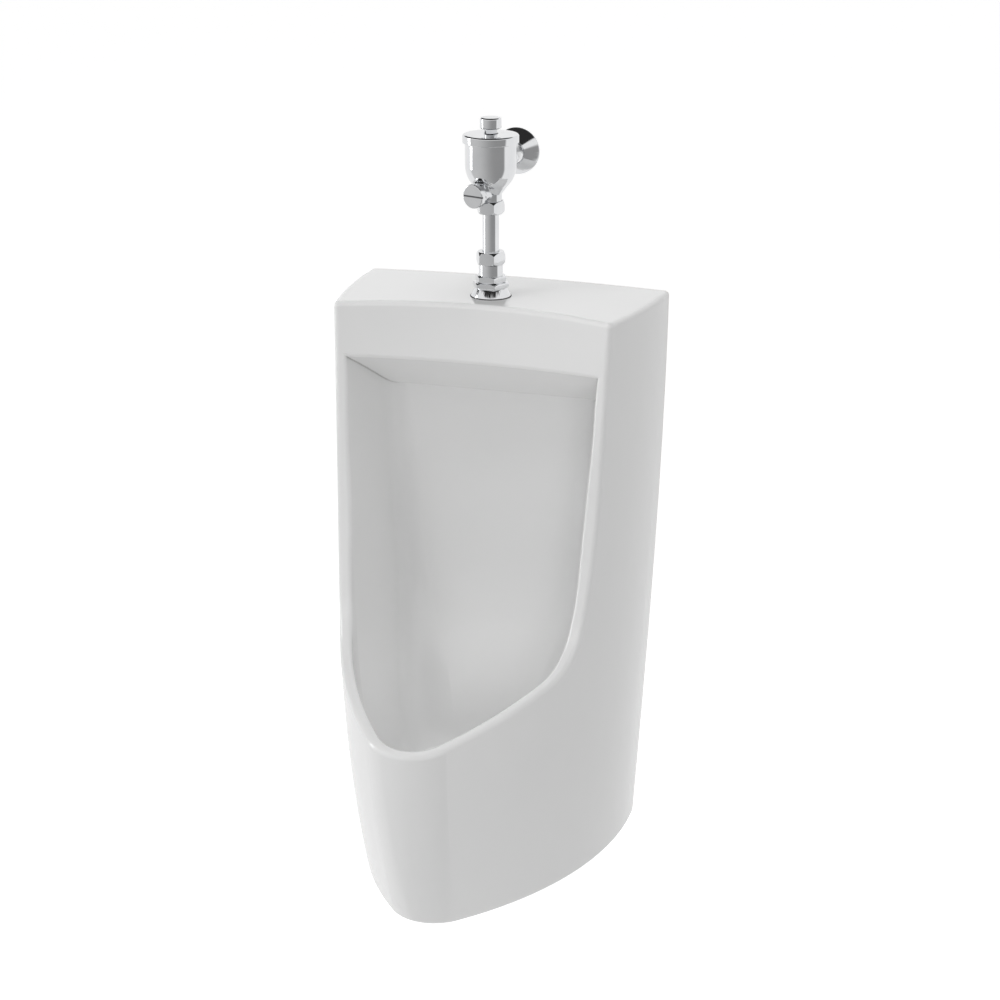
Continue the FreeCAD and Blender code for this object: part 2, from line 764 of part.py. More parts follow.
def outer_form():
    """The outside of the casting with its deck, header face and rims cut, and its edges softened."""
    # The form runs on past the wall and is cut there, so that its back is one flat face
    outside = envelope("envelope", stages("0", "0", "0"), "wall_overrun")
    past_wall = box(
        "past_wall",
        ("-top_half_width - 10", "0", "-10"),
        ("top_half_width + 10", "wall_overrun + 10", "envelope_top + 30"),
    )
    bow_levels = [
        ("start", "rim_straight_end", None),
        ("half", "(rim_straight_end + header_bottom) / 2", "header_bow / 2"),
        ("low", "header_bottom", "header_bow"),
        ("high", "envelope_top + 20", "header_bow"),
    ]
    bow_sections = [
        bowed_section(f"bow_{end}", level, rim_setback(level), bow, "-lip_reach")
        for end, level, bow in bow_levels
    ]
    front = fuse("front_cutter", rim_cutter(), loft("bow_cutter", bow_sections))
    crown = crown_cutter()
    trimmed = cut("trimmed", cut("crowned", cut("walled", outside, past_wall), crown), front)

    def wanted(edge):
        box_round = edge.BoundBox
        if box_round.YMin > -100:
            return False
        at_foot = box_round.ZMax < 1
        on_outside = lies_on(edge, outside)
        at_deck = lies_on(edge, crown)
        at_front = lies_on(edge, front)
        return at_foot or (on_outside and (at_deck or at_front)) or (at_deck and at_front)

    return rounded("softened", trimmed, "outer_round", wanted), front


def bowl_opening():
    """The open space of the bowl under the header, with a soft shoulder inside its rims."""
    inside = envelope("inside", stages("0", "lip_wall", "rim_wall"), "0")
    recess_form = recess("recess", "0")
    space = common("bowl_space", inside, recess_form)
    top = value("header_bottom")

    def wanted(edge):
        return edge.BoundBox.ZMin < top and lies_on(edge, inside) and lies_on(edge, recess_form)

    soft = rounded("bowl_soft", space, "shoulder_round", wanted)
    # The roof's front runs on past the header's face, so that the two cross cleanly
    past_face = f"{rim_setback('header_bottom')} + 9"
    roof_sections = [
        bowed_section("roof_low", "band_bottom", "band_setback", "0.5", "20"),
        bowed_section("roof_high", "header_bottom + 6", past_face, "header_bow", "20"),
    ]
    return cut("bowl_opening", soft, loft("header_roof", roof_sections, ruled=True))


def hidden_spaces():
    """The spaces behind and below the bowl, and the water ways and holes through the casting."""
    skirt_inside = envelope("skirt_inside", stages("-1", "skirt_wall", "skirt_wall"), "5")
    below = box(
        "below_header",
        ("-top_half_width", "-lip_reach", "-5"),
        ("top_half_width", "5", "hollow_top"),
    )
    behind = cut("hollow_behind", common("hollow_blank", skirt_inside, below), recess("shell", "bowl_wall"))
    chamber = box(
        "water_chamber",
        ("-chamber_half_width", "-chamber_front", "chamber_floor"),
        ("chamber_half_width", "-chamber_back", "body_height - deck_thickness"),
    )
    flush_holes = [
        cylinder(
            f"flush_hole_{number + 5}", "flush_hole_radius", "chamber_floor - band_bottom + 10",
            x=f"{number} * flush_hole_pitch", y="-flush_hole_setback", z="band_bottom - 5",
        )
        for number in range(-4, 5)
    ]
    spud_hole = cylinder(
        "spud_hole", "spud_hole_radius", "deck_thickness + 30", y="-spud_setback",
        z="body_height - deck_thickness - 10",
    )
    drain_hole = cylinder("drain_hole", "drain_hole_radius", "40", y="-drain_setback", z="bowl_floor - 30")
    pockets = []
    for side, sign in (("left", "-1"), ("right", "1")):
        middle = f"{sign} * hanger_spacing / 2"
        half = "(hanger_width / 2 + hanger_pocket_gap)"
        pockets.append(
            box(
                f"hanger_pocket_{side}",
                (f"{middle} - {half}", "-hanger_reach - hanger_pocket_gap", "hollow_top - 5"),
                (f"{middle} + {half}", "-hanger_reach + hanger_gauge * 3", "hanger_hook_top + 0.4"),
            )
        )
    return fuse("spaces", behind, chamber, spud_hole, drain_hole, *flush_holes, *pockets)


def fixing_lugs():
    """Two drilled lugs inside the skirt, for the lower wall screws."""
    lugs = []
    for side, low, high, middle in (
        ("left", "-lug_outer", "-lug_inner", "-lug_spacing / 2"),
        ("right", "lug_inner", "lug_outer", "lug_spacing / 2"),
    ):
        block = box(
            f"lug_block_{side}",
            (low, "-lug_thickness", "lug_level - lug_height / 2"),
            (high, "0", "lug_level + lug_height / 2"),
        )
        hole = cylinder(
            f"lug_hole_{side}", "lug_hole_radius", "lug_thickness + 20", x=middle, z="lug_level",
            y="-lug_thickness - 10", turn=TOWARDS_WALL,
        )
        lugs.append(cut(f"lug_{side}", block, hole))
    return lugs


def urinal_body():
    """The one-piece vitreous china casting, hollow behind and below its bowl."""
    softened, front = outer_form()
    opening = bowl_opening()
    carved = cut("carved", softened, opening)

    def wanted(edge):
        return lies_on(edge, front) and lies_on(edge, opening)

    rimmed = rounded("rimmed", carved, "inner_round", wanted)
    casting = cut("casting", rimmed, hidden_spaces())
    whole = fuse("urinal_body", casting, *fixing_lugs())
    return subpart(place(whole, z="-origin_height"), "urinal_body")


def hanger_brackets():
    """Two steel hangers on the wall, whose upturned hooks carry the casting."""
    brackets = []
    for side, sign in (("left", "-1"), ("right", "1")):
        middle = f"{sign} * hanger_spacing / 2"
        low, high = f"{middle} - hanger_width / 2", f"{middle} + hanger_width / 2"
        plate = box(f"plate_{side}", (low, "-hanger_gauge", "hanger_bottom"), (high, "0", "hanger_top"))
        shelf = box(
            f"shelf_{side}",
            (low, "-hanger_reach", "hanger_top - hanger_gauge * 2"),
            (high, "-hanger_gauge", "hanger_top - hanger_gauge"),
        )
        hook = box(
            f"hook_{side}",
            (low, "-hanger_reach", "hanger_top - hanger_gauge"),
            (high, "-hanger_reach + hanger_gauge", "hanger_hook_top"),
        )
        holes = [
            cylinder(
                f"hanger_hole_{side}_{step}", "hanger_hole_radius", "hanger_gauge + 10", x=middle,
                z=f"hanger_hole_low + {step} * hanger_hole_pitch", y="-hanger_gauge - 5", turn=TOWARDS_WALL,
            )
            for step in range(2)
        ]
        blank = fuse(f"hanger_blank_{side}", plate, shelf, hook)
        brackets.append(cut(f"hanger_{side}", blank, fuse(f"hanger_holes_{side}", *holes)))
    both = doc.addObject("Part::Compound", "hanger_brackets")
    both.Links = brackets
    return subpart(place(both, z="-origin_height"), "hanger_brackets")


# Spud and flush pipe

def spud_pieces():
    """The brass spud clamped in the deck hole, with its gasket, lock nut and cone cover."""
    bore = "spud_radius - spud_wall"
    body = ring("spud_body", bore, "spud_radius", "spud_bottom", "spud_top")
    subpart(place(body, **ON_DECK), "spud_body")
    grip = "spud_radius + 0.2"
    under = "-deck_thickness - spud_gasket_thickness"
    gasket = turned("spud_gasket", [
        (grip, under),
        ("spud_gasket_flange", under),
        ("spud_gasket_flange", "-deck_thickness"),
        ("spud_hole_radius - 0.2", "-deck_thickness"),
        ("spud_hole_radius - 0.2", "-1"),
        (grip, "-1"),
    ])
    subpart(place(gasket, **ON_DECK), "spud_gasket")
    low = f"{under} - spud_locknut_height"
    blank = [(grip, low), *chamfered("spud_locknut_corner", low, under), (grip, under)]
    nut = hex_piece("spud_locknut", "spud_locknut_corner", blank, low, under)
    subpart(place(nut, **ON_DECK), "spud_locknut")
    cone = turned("spud_escutcheon", [
        ("escutcheon_base - escutcheon_wall", "0"),
        ("escutcheon_base", "0"),
        ("escutcheon_base", "1"),
        ("escutcheon_top", "escutcheon_height"),
        ("adapter_tail_radius + 0.3", "escutcheon_height"),
        ("adapter_tail_radius + 0.3", "escutcheon_height - escutcheon_wall"),
        ("escutcheon_top - escutcheon_wall", "escutcheon_height - escutcheon_wall"),
    ])
    subpart(place(cone, **ON_DECK), "spud_escutcheon")
    bore = "adapter_tail_radius + thread_gap"
    low, high = "escutcheon_height", "cover_nut_top"
    blank = [(bore, low), *chamfered("cover_nut_corner", low, high), (bore, high)]
    nut = hex_piece("cover_nut", "cover_nut_corner", blank, low, high)
    subpart(place(nut, **ON_DECK), "cover_nut")


def spud_adapter():
    """The hexagon adapter screwed into the spud, which takes the flush pipe."""
    bore = "pipe_radius + pipe_gap"
    hex_low = "cover_nut_top"
    profile = [
        (bore, "adapter_tail_bottom"),
        ("adapter_tail_radius", "adapter_tail_bottom"),
        ("adapter_tail_radius", hex_low),
        *chamfered("adapter_hex_corner", hex_low, "adapter_hex_top"),
        ("adapter_neck_radius", "adapter_hex_top"),
        ("adapter_neck_radius", "adapter_neck_top"),
        ("adapter_thread_radius", "adapter_neck_top"),
        ("adapter_thread_radius", "adapter_thread_top"),
        (bore, "adapter_thread_top"),
    ]
    flats = hex_prism("adapter_flats", "adapter_hex_corner", hex_low, "adapter_hex_top")
    above = ring("adapter_above", "0", "adapter_hex_corner", "adapter_hex_top", "adapter_thread_top")
    below = ring("adapter_below", "0", "adapter_hex_corner", "adapter_tail_bottom", hex_low)
    keep = fuse("adapter_keep", flats, above, below)
    made = common("spud_adapter", turned("adapter_blank", profile), keep)
    return subpart(place(made, **ON_DECK), "spud_adapter")


def flush_pipe_pieces():
    """The flush pipe between the adapter and the valve, with a union nut and a seal at each end."""
    collar_low = "pipe_top - pipe_collar_height"
    pipe = turned("flush_pipe", [
        ("pipe_radius - pipe_wall", "pipe_bottom"),
        ("pipe_radius", "pipe_bottom"),
        ("pipe_radius", collar_low),
        ("pipe_collar_radius", collar_low),
        ("pipe_collar_radius", "pipe_top"),
        ("pipe_radius - pipe_wall", "pipe_top"),
    ])
    subpart(place(pipe, **ON_DECK), "flush_pipe")
    hole = "pipe_radius + pipe_gap"
    thread = "adapter_thread_radius + thread_gap"
    ceiling = "adapter_thread_top + seal_height"
    low = "adapter_neck_top + 0.3"
    lower = hex_piece("lower_union_nut", "lower_nut_corner", [
        (thread, low),
        *chamfered("lower_nut_corner", low, "lower_nut_top", "union_chamfer_rise"),
        (hole, "lower_nut_top"),
        (hole, ceiling),
        (thread, ceiling),
    ], low, "lower_nut_top")
    subpart(place(lower, **ON_DECK), "lower_union_nut")
    seal = ring("lower_seal", "pipe_radius + 0.1", "adapter_thread_radius", "adapter_thread_top", ceiling)
    subpart(place(seal, **ON_DECK), "lower_seal")
    shoulder = "pipe_top - pipe_collar_height"
    upper = hex_piece("upper_union_nut", "upper_nut_corner", [
        (hole, "upper_nut_bottom"),
        *chamfered("upper_nut_corner", "upper_nut_bottom", "upper_nut_top", "union_chamfer_rise"),
        ("valve_neck_radius + thread_gap", "upper_nut_top"),
        ("valve_neck_radius + thread_gap", shoulder),
        (hole, shoulder),
    ], "upper_nut_bottom", "upper_nut_top")
    subpart(place(upper, **ON_DECK), "upper_union_nut")
    bore = "pipe_radius - pipe_wall"
    washer = ring("upper_seal", bore, "pipe_collar_radius", "pipe_top", "valve_neck_bottom")
    subpart(place(washer, **ON_DECK), "upper_seal")


# Flush valve

def valve_body():
    """The bell-shaped valve body with its inlet boss at the back and its regulator boss."""
    bell = turned("valve_bell", [
        ("valve_throat_radius", "valve_neck_bottom"),
        ("valve_neck_radius", "valve_neck_bottom"),
        ("valve_neck_radius", "valve_neck_top"),
        ("valve_cone_radius", "valve_cone_top", "valve_bowl_radius", 1),
        ("valve_cup_radius", "valve_cup_start"),
        ("valve_cup_radius", "valve_cup_top"),
        ("valve_bore_radius", "valve_cup_top"),
        ("valve_bore_radius", "valve_floor"),
        ("seat_recess_radius", "valve_floor"),
        ("seat_recess_radius", "seat_recess_floor"),
        ("valve_throat_radius", "seat_recess_floor"),
    ])
    inlet = cylinder("inlet_boss", "inlet_boss_radius", "inlet_boss_end", z="inlet_level", turn=TOWARDS_WALL)
    boss = cylinder(
        "regulator_boss", "regulator_boss_radius", "regulator_boss_end", z="regulator_level",
        turn=regulator_turn(),
    )
    chamber = cylinder("valve_chamber", "valve_bore_radius", "valve_cup_top - valve_floor", z="valve_floor")
    recess_space = cylinder(
        "seat_space", "seat_recess_radius", "valve_floor - seat_recess_floor", z="seat_recess_floor"
    )
    throat = cylinder(
        "throat", "valve_throat_radius", "seat_recess_floor - valve_neck_bottom", z="valve_neck_bottom"
    )
    inlet_way = cylinder("inlet_way", "inlet_bore", "inlet_boss_end", z="inlet_level", turn=TOWARDS_WALL)
    regulator_way = cylinder(
        "regulator_way", "regulator_bore", "regulator_boss_end", z="regulator_level", turn=regulator_turn()
    )
    ways = fuse("valve_ways", chamber, recess_space, throat, inlet_way, regulator_way)
    made = cut("valve_body", fuse("valve_blank", bell, inlet, boss), ways)
    return subpart(place(made, **ON_DECK), "valve_body")


def piston_pieces():
    """The seat, and the piston that lifts off it with its packing, washer and screw."""
    seat = ring("seat_ring", "seat_bore", "seat_recess_radius - 0.2", "seat_recess_floor", "seat_top")
    subpart(place(seat, **ON_DECK), "seat_ring")
    hole = "washer_screw_shank + 0.1"
    piston = turned("piston", [
        (hole, "piston_bottom"),
        ("piston_foot_radius", "piston_bottom"),
        ("piston_foot_radius", "piston_foot_top"),
        ("piston_waist_radius", "piston_foot_top"),
        ("piston_waist_radius", "piston_head_bottom"),
        ("piston_head_radius", "piston_head_bottom"),
        ("piston_head_radius", "packing_bottom"),
        ("packing_groove_radius", "packing_bottom"),
        ("packing_groove_radius", "packing_top"),
        ("piston_head_radius", "packing_top"),
        ("piston_head_radius", "piston_top"),
        ("piston_hollow_radius", "piston_top"),
        ("piston_hollow_radius", "piston_hollow_floor"),
        (hole, "piston_hollow_floor"),
    ])
    subpart(place(piston, **ON_DECK), "piston")
    groove = "packing_groove_radius + 0.1"
    packing = ring("piston_packing", groove, "packing_radius", "packing_bottom", "packing_top")
    subpart(place(packing, **ON_DECK), "piston_packing")
    washer = ring("seat_washer", hole, "seat_washer_radius", "seat_top", "piston_bottom")
    subpart(place(washer, **ON_DECK), "seat_washer")
    screw = turned("washer_screw", [
        ("0", "seat_top - washer_screw_drop"),
        ("washer_screw_head", "seat_top - washer_screw_drop"),
        ("washer_screw_head", "seat_top"),
        ("washer_screw_shank", "seat_top"),
        ("washer_screw_shank", "piston_hollow_floor - 0.4"),
        ("0", "piston_hollow_floor - 0.4"),
    ])
    subpart(place(screw, **ON_DECK), "washer_screw")


def cap_pieces():
    """The screwed cap, whose boss guides the push button and holds the pilot seat."""
    crown = "cap_shoulder + cap_edge_radius"
    groove = "button_oring_section"
    cap = turned("valve_cap", [
        ("valve_cup_radius + 0.3", "cap_bottom"),
        ("cap_radius - 0.6", "cap_bottom"),
        ("cap_radius", "cap_bottom + 0.6"),
        ("cap_radius", "cap_shoulder", "cap_edge_radius", 1),
        ("cap_radius - cap_edge_radius", crown),
        ("cap_bore_radius + 1", f"{crown} + cap_crown"),
        ("cap_bore_radius", f"{crown} + cap_crown - 1"),
        ("cap_bore_radius", f"button_oring_level + {groove}"),
        (f"button_oring_ring + {groove}", f"button_oring_level + {groove}"),
        (f"button_oring_ring + {groove}", f"button_oring_level - {groove}"),
        ("cap_bore_radius", f"button_oring_level - {groove}"),
        ("cap_bore_radius", "cap_shelf_top"),
        ("cap_rod_hole", "cap_shelf_top"),
        ("cap_rod_hole", "cap_boss_bottom"),
        ("cap_boss_radius", "cap_boss_bottom"),
        ("cap_boss_radius", "cap_plate_bottom"),
        ("valve_cup_radius + 0.3", "cap_plate_bottom"),
    ])
    subpart(place(cap, **ON_DECK), "valve_cap")
    gasket = ring("cap_gasket", "cap_gasket_inner", "valve_cup_radius", "valve_cup_top", "cap_plate_bottom")
    subpart(place(gasket, **ON_DECK), "cap_gasket")
    oring = doc.addObject("Part::Torus", "button_oring")
    bind(oring, Radius1="button_oring_ring", Radius2="button_oring_section - 0.05")
    place(oring, y="-spud_setback", z="body_height + button_oring_level - origin_height")
    subpart(oring, "button_oring")


def button_pieces():
    """The push button on its rod, with the pilot seal and nut at the rod's foot and its spring."""
    button = turned("push_button", [
        ("0", "button_rod_bottom"),
        ("button_rod_radius", "button_rod_bottom"),
        ("button_rod_radius", "button_neck_bottom"),
        ("button_neck_radius", "button_neck_bottom"),
        ("button_neck_radius", "button_bottom"),
        ("button_radius - 0.8", "button_bottom"),
        ("button_radius", "button_bottom + 0.8"),
        ("button_radius", "button_top - button_round", "button_round", 1),
        ("button_radius - button_round", "button_top"),
        ("0", "button_top + 0.3"),
    ])
    subpart(place(button, **ON_DECK), "push_button")
    hole = "button_rod_radius + 0.1"
    seal = ring("pilot_seal", hole, "pilot_seal_radius", "pilot_seal_bottom", "pilot_seal_top")
    subpart(place(seal, **ON_DECK), "pilot_seal")
    low, high = "button_rod_bottom", "pilot_seal_bottom"
    blank = [(hole, low), ("pilot_nut_corner", low), ("pilot_nut_corner", high), (hole, high)]
    nut = hex_piece("pilot_nut", "pilot_nut_corner", blank, low, high)
    subpart(place(nut, **ON_DECK), "pilot_nut")
    button_spring()


def button_spring():
    """The return spring round the rod, between the cap's shelf and the button's neck."""
    low, high = "(cap_shelf_top + spring_wire + 0.1)", "(button_neck_bottom - spring_wire - 0.1)"
    helix = doc.addObject("Part::Helix", "spring_line")
    bind(helix, Radius="spring_radius", Height=f"{high} - {low}", Pitch=f"({high} - {low}) / spring_turns")
    wire = doc.addObject("Sketcher::SketchObject", "spring_section")
    wire.Placement = FreeCAD.Placement(Vector(), Rotation(Vector(1, 0, 0), 90))
    middle = Vector(value("spring_radius"), 0, 0)
    section = wire.addGeometry(Part.Circle(middle, Vector(0, 0, 1), value("spring_wire")))
    pin_point(wire, section, 3, "X", "spring_radius")
    pin_point(wire, section, 3, "Y", "0")
    pin_radius(wire, section, "spring_wire")
    sweep = doc.addObject("Part::Sweep", "spring_sweep")
    sweep.Sections = [wire]
    sweep.Spine = (helix, ["Edge1"])
    sweep.Solid = True
    sweep.Frenet = True
    place(sweep, y="-spud_setback", z=f"body_height + {low} - origin_height")
    return subpart(sweep, "button_spring")


# Flow regulator

def regulator_turn():
    """The turn that points a piece's Z axis out of the regulator, to the front and a little left."""
    aside = Rotation(Vector(0, 0, 1), -value("regulator_turned"))
    return aside * Rotation(Vector(1, 0, 0), 90)


def on_regulator(made):
    level = "body_height + regulator_level - origin_height"
    return place(made, y="-spud_setback", z=level, turn=regulator_turn())


def regulator_pieces():
    """The gland, the slotted spindle that turns in it, and the plug that the spindle drives."""
    flats = hex_prism("gland_flats", "gland_corner", "regulator_boss_end", "gland_end")
    tail = ring("gland_tail", "0", "gland_corner", "gland_tail_start", "regulator_boss_end")
    blank = turned("gland_blank", [
        ("gland_oring_bore", "gland_tail_start"),
        ("gland_tail_radius", "gland_tail_start"),
        ("gland_tail_radius", "regulator_boss_end"),
        ("gland_corner", "regulator_boss_end"),
        ("gland_corner", "gland_end - 1"),
        ("gland_corner - 1", "gland_end"),
        ("gland_bore", "gland_end"),
        ("gland_bore", "gland_oring_end"),
        ("gland_oring_bore", "gland_oring_end"),
    ])
    gland = common("regulator_gland", blank, fuse("gland_keep", flats, tail))
    subpart(on_regulator(gland), "regulator_gland")
    low, high = "gland_tail_start + 0.2", "gland_oring_end - 0.1"
    oring = ring("regulator_oring", "gland_bore", "gland_oring_bore - 0.1", low, high)
    subpart(on_regulator(oring), "regulator_oring")
    spindle = turned("spindle_blank", [
        ("0", "spindle_screw_start"),
        ("spindle_screw_radius", "spindle_screw_start"),
        ("spindle_screw_radius", "plug_end + 1"),
        ("spindle_radius", "plug_end + 1"),
        ("spindle_radius", "spindle_head_start"),
        ("spindle_head_radius - 0.6", "spindle_head_start"),
        ("spindle_head_radius", "spindle_head_start + 0.6"),
        ("spindle_head_radius", "spindle_head_end - spindle_head_round", "spindle_head_round", 1),
        ("spindle_head_radius - spindle_head_round", "spindle_head_end"),
        ("0", "spindle_head_end"),
    ])
    slot = box(
        "spindle_slot",
        ("-spindle_head_radius - 1", "-spindle_slot_width / 2", "spindle_head_end - spindle_slot_depth"),
        ("spindle_head_radius + 1", "spindle_slot_width / 2", "spindle_head_end + 1"),
    )
    subpart(on_regulator(cut("regulator_spindle", spindle, slot)), "regulator_spindle")
    plug = turned("regulator_plug", [
        ("0", "plug_start"),
        ("plug_radius - 1.5", "plug_start"),
        ("plug_radius", "plug_start + 1.5"),
        ("plug_radius", "plug_end"),
        ("plug_bore", "plug_end"),
        ("plug_bore", "plug_start + 0.9"),
        ("0", "plug_start + 0.9"),
    ])
    subpart(on_regulator(plug), "regulator_plug")


# Supply inlet

def on_inlet(made):
    level = "body_height + inlet_level - origin_height"
    return place(made, y="-spud_setback", z=level, turn=TOWARDS_WALL)


def inlet_pieces():
    """The union between the valve and the supply nipple, and the flange that covers the wall hole."""
    washer_end = "inlet_boss_end + inlet_washer_height"
    washer = ring("inlet_washer", "inlet_bore", "inlet_boss_radius - 0.1", "inlet_boss_end", washer_end)
    subpart(on_inlet(washer), "inlet_washer")
    collar_end = f"{washer_end} + nipple_collar_height"
    nipple = turned("inlet_nipple", [
        ("inlet_bore", washer_end),
        ("nipple_collar_radius", washer_end),
        ("nipple_collar_radius", collar_end),
        ("nipple_radius", collar_end),
        ("nipple_radius", "spud_setback"),
        ("nipple_end_radius", "spud_setback"),
        ("nipple_end_radius", "spud_setback + nipple_past_wall"),
        ("inlet_bore", "spud_setback + nipple_past_wall"),
    ])
    subpart(on_inlet(nipple), "inlet_nipple")
    bore = "inlet_boss_radius + thread_gap"
    hole = "nipple_end_radius + 0.3"
    blank = [
        (bore, "inlet_nut_start"),
        *chamfered("inlet_nut_corner", "inlet_nut_start", "inlet_nut_end", "union_chamfer_rise"),
        (hole, "inlet_nut_end"),
        (hole, collar_end),
        (bore, collar_end),
    ]
    nut = hex_piece("inlet_union_nut", "inlet_nut_corner", blank, "inlet_nut_start", "inlet_nut_end")
    subpart(on_inlet(nut), "inlet_union_nut")
    front = "spud_setback - flange_depth"
    flange = turned("wall_flange", [
        (hole, front),
        ("flange_neck_radius", front),
        ("flange_radius", "spud_setback - flange_edge"),
        ("flange_radius", "spud_setback"),
        ("flange_radius - flange_wall", "spud_setback"),
        ("flange_radius - flange_wall", "spud_setback - flange_edge + flange_wall * 0.5"),
        ("flange_neck_radius", f"{front} + flange_wall * 1.5"),
        (hole, f"{front} + flange_wall * 1.5"),
    ])
    subpart(on_inlet(flange), "wall_flange")


# Waste and trap

IN_SKIRT = {"y": "-drain_setback", "z": "-origin_height"}


def waste_pieces():
    """The flanged waste in the bowl floor with its strainer, gasket, washer and back nut."""
    seat = "bowl_floor + waste_gasket_thickness"
    rim = f"{seat} + waste_flange_thickness"
    gasket = ring("waste_gasket", "waste_radius + waste_fit", "waste_flange_radius - 1", "bowl_floor", seat)
    subpart(place(gasket, **IN_SKIRT), "waste_gasket")
    tube = turned("waste_tube", [
        ("waste_bore", "waste_bottom"),
        ("waste_radius", "waste_bottom"),
        ("waste_radius", seat),
        ("waste_flange_radius", seat),
        ("waste_flange_radius", f"{rim} - 1"),
        ("waste_flange_radius - 1", rim),
        ("strainer_radius + waste_fit", rim),
        ("strainer_radius + waste_fit", f"{rim} - strainer_recess"),
        ("waste_bore", f"{rim} - strainer_recess"),
    ])
    bar = box(
        "waste_bar",
        ("-waste_bore - 1", "-strainer_bar_width / 2", "strainer_bar_top - strainer_bar_height"),
        ("waste_bore + 1", "strainer_bar_width / 2", "strainer_bar_top"),
    )
    bar_hole = cylinder(
        "bar_hole", "strainer_screw_radius + 0.1", "strainer_bar_height + 10",
        z="strainer_bar_top - strainer_bar_height - 5",
    )
    body = cut("waste_body", fuse("waste_blank", tube, bar), bar_hole)
    subpart(place(body, **IN_SKIRT), "waste_body")
    plate_low = f"{rim} - strainer_recess"
    plate = turned("strainer_plate", [
        ("0", plate_low),
        ("strainer_radius", plate_low),
        ("strainer_radius", f"{rim} - 0.4"),
        ("strainer_radius - 6", f"{rim} + 0.6"),
        ("0", f"{rim} + 0.6"),
    ])
    holes = [cylinder("strainer_screw_hole", "strainer_screw_radius + 0.1", "20", z=f"{rim} - 10")]
    for step in range(int(value("strainer_hole_count"))):
        angle = f"{step} * 360 / strainer_hole_count * 1 deg"
        holes.append(
            cylinder(
                f"strainer_hole_{step}", "strainer_hole_radius", "20", z=f"{rim} - 10",
                x=f"strainer_hole_circle * cos({angle})",
                y=f"strainer_hole_circle * sin({angle})",
            )
        )
    strainer = cut("drain_strainer", plate, fuse("strainer_holes", *holes))
    subpart(place(strainer, **IN_SKIRT), "drain_strainer")
    top = f"{rim} + 0.6"
    screw = turned("strainer_screw", [
        ("0", "strainer_bar_top - strainer_bar_height - 3"),
        ("strainer_screw_radius", "strainer_bar_top - strainer_bar_height - 3"),
        ("strainer_screw_radius", top),
        ("strainer_screw_head", top),
        ("strainer_screw_head", f"{top} + 0.8"),
        ("strainer_screw_head - 1.6", f"{top} + 2"),
        ("0", f"{top} + 2.4"),
    ])
    subpart(place(screw, **IN_SKIRT), "strainer_screw")
    under = "bowl_floor - bowl_wall"
    washer_low = f"{under} - waste_washer_thickness"
    washer = ring("waste_washer", "waste_radius + waste_fit", "waste_washer_radius", washer_low, under)
    subpart(place(washer, **IN_SKIRT), "waste_washer")
    nut_low = f"{washer_low} - backnut_height"
    grip = "waste_radius + waste_fit"
    blank = [(grip, nut_low), *chamfered("backnut_corner", nut_low, washer_low), (grip, washer_low)]
    nut = hex_piece("waste_backnut", "backnut_corner", blank, nut_low, washer_low)
    subpart(place(nut, **IN_SKIRT), "waste_backnut")


def trap_pieces():
    """The bottle trap under the waste: body with its outlet branch, screwed cup, nut and seals."""
    inner = "trap_radius - trap_wall"
    hole = "waste_radius + waste_fit"
    shell = turned("trap_shell", [
        (inner, "trap_bottom"),
        ("trap_radius", "trap_bottom"),
        ("trap_radius", "trap_shoulder"),
        ("trap_neck_radius", "trap_shoulder"),
        ("trap_neck_radius", "trap_neck_top"),
        (hole, "trap_neck_top"),
        (hole, "trap_shoulder - trap_wall"),
        (inner, "trap_shoulder - trap_wall"),
    ])
    branch = cylinder(
        "branch", "outlet_branch_radius", "outlet_branch_end", z="outlet_level", turn=TOWARDS_WALL
    )
    inside = cylinder("trap_inside", inner, "trap_shoulder - trap_wall - trap_bottom", z="trap_bottom")
    way = cylinder(
        "branch_way", "outlet_pipe_radius + 0.25", "outlet_branch_end", z="outlet_level", turn=TOWARDS_WALL
    )
    body = cut("trap_body", fuse("trap_blank", shell, branch), fuse("trap_ways", inside, way))
    subpart(place(body, **IN_SKIRT), "trap_body")
    ceiling = "trap_neck_top + seal_height"
    seal = ring("trap_seal", "waste_radius + 0.1", "trap_neck_radius - 0.2", "trap_neck_top", ceiling)
    subpart(place(seal, **IN_SKIRT), "trap_seal")
    bore = "trap_neck_radius + thread_gap"
    nut = hex_piece("trap_nut", "trap_nut_corner", [
        (bore, "trap_nut_bottom"),
        *chamfered("trap_nut_corner", "trap_nut_bottom", "trap_nut_top"),
        (hole, "trap_nut_top"),
        (hole, ceiling),
        (bore, ceiling),
    ], "trap_nut_bottom", "trap_nut_top")
    subpart(place(nut, **IN_SKIRT), "trap_nut")
    cup_top = "trap_bottom - cup_seal_thickness"
    cup = turned("trap_cup", [
        ("0", "cup_bottom"),
        ("trap_radius - 4", "cup_bottom"),
        ("trap_radius", "cup_bottom + 4"),
        ("trap_radius", cup_top),
        ("cup_screw_radius", cup_top),
        ("cup_screw_radius", "cup_screw_top"),
        ("cup_screw_radius - trap_wall + 0.4", "cup_screw_top"),
        ("cup_screw_radius - trap_wall + 0.4", "cup_bottom + trap_wall"),
        ("0", "cup_bottom + trap_wall"),
    ])
    subpart(place(cup, **IN_SKIRT), "trap_cup")
    cup_seal = ring("trap_cup_seal", "cup_screw_radius + 0.1", "trap_radius", cup_top, "trap_bottom")
    subpart(place(cup_seal, **IN_SKIRT), "trap_cup_seal")


def on_outlet(made):
    return place(made, y="-drain_setback", z="outlet_level - origin_height", turn=TOWARDS_WALL)


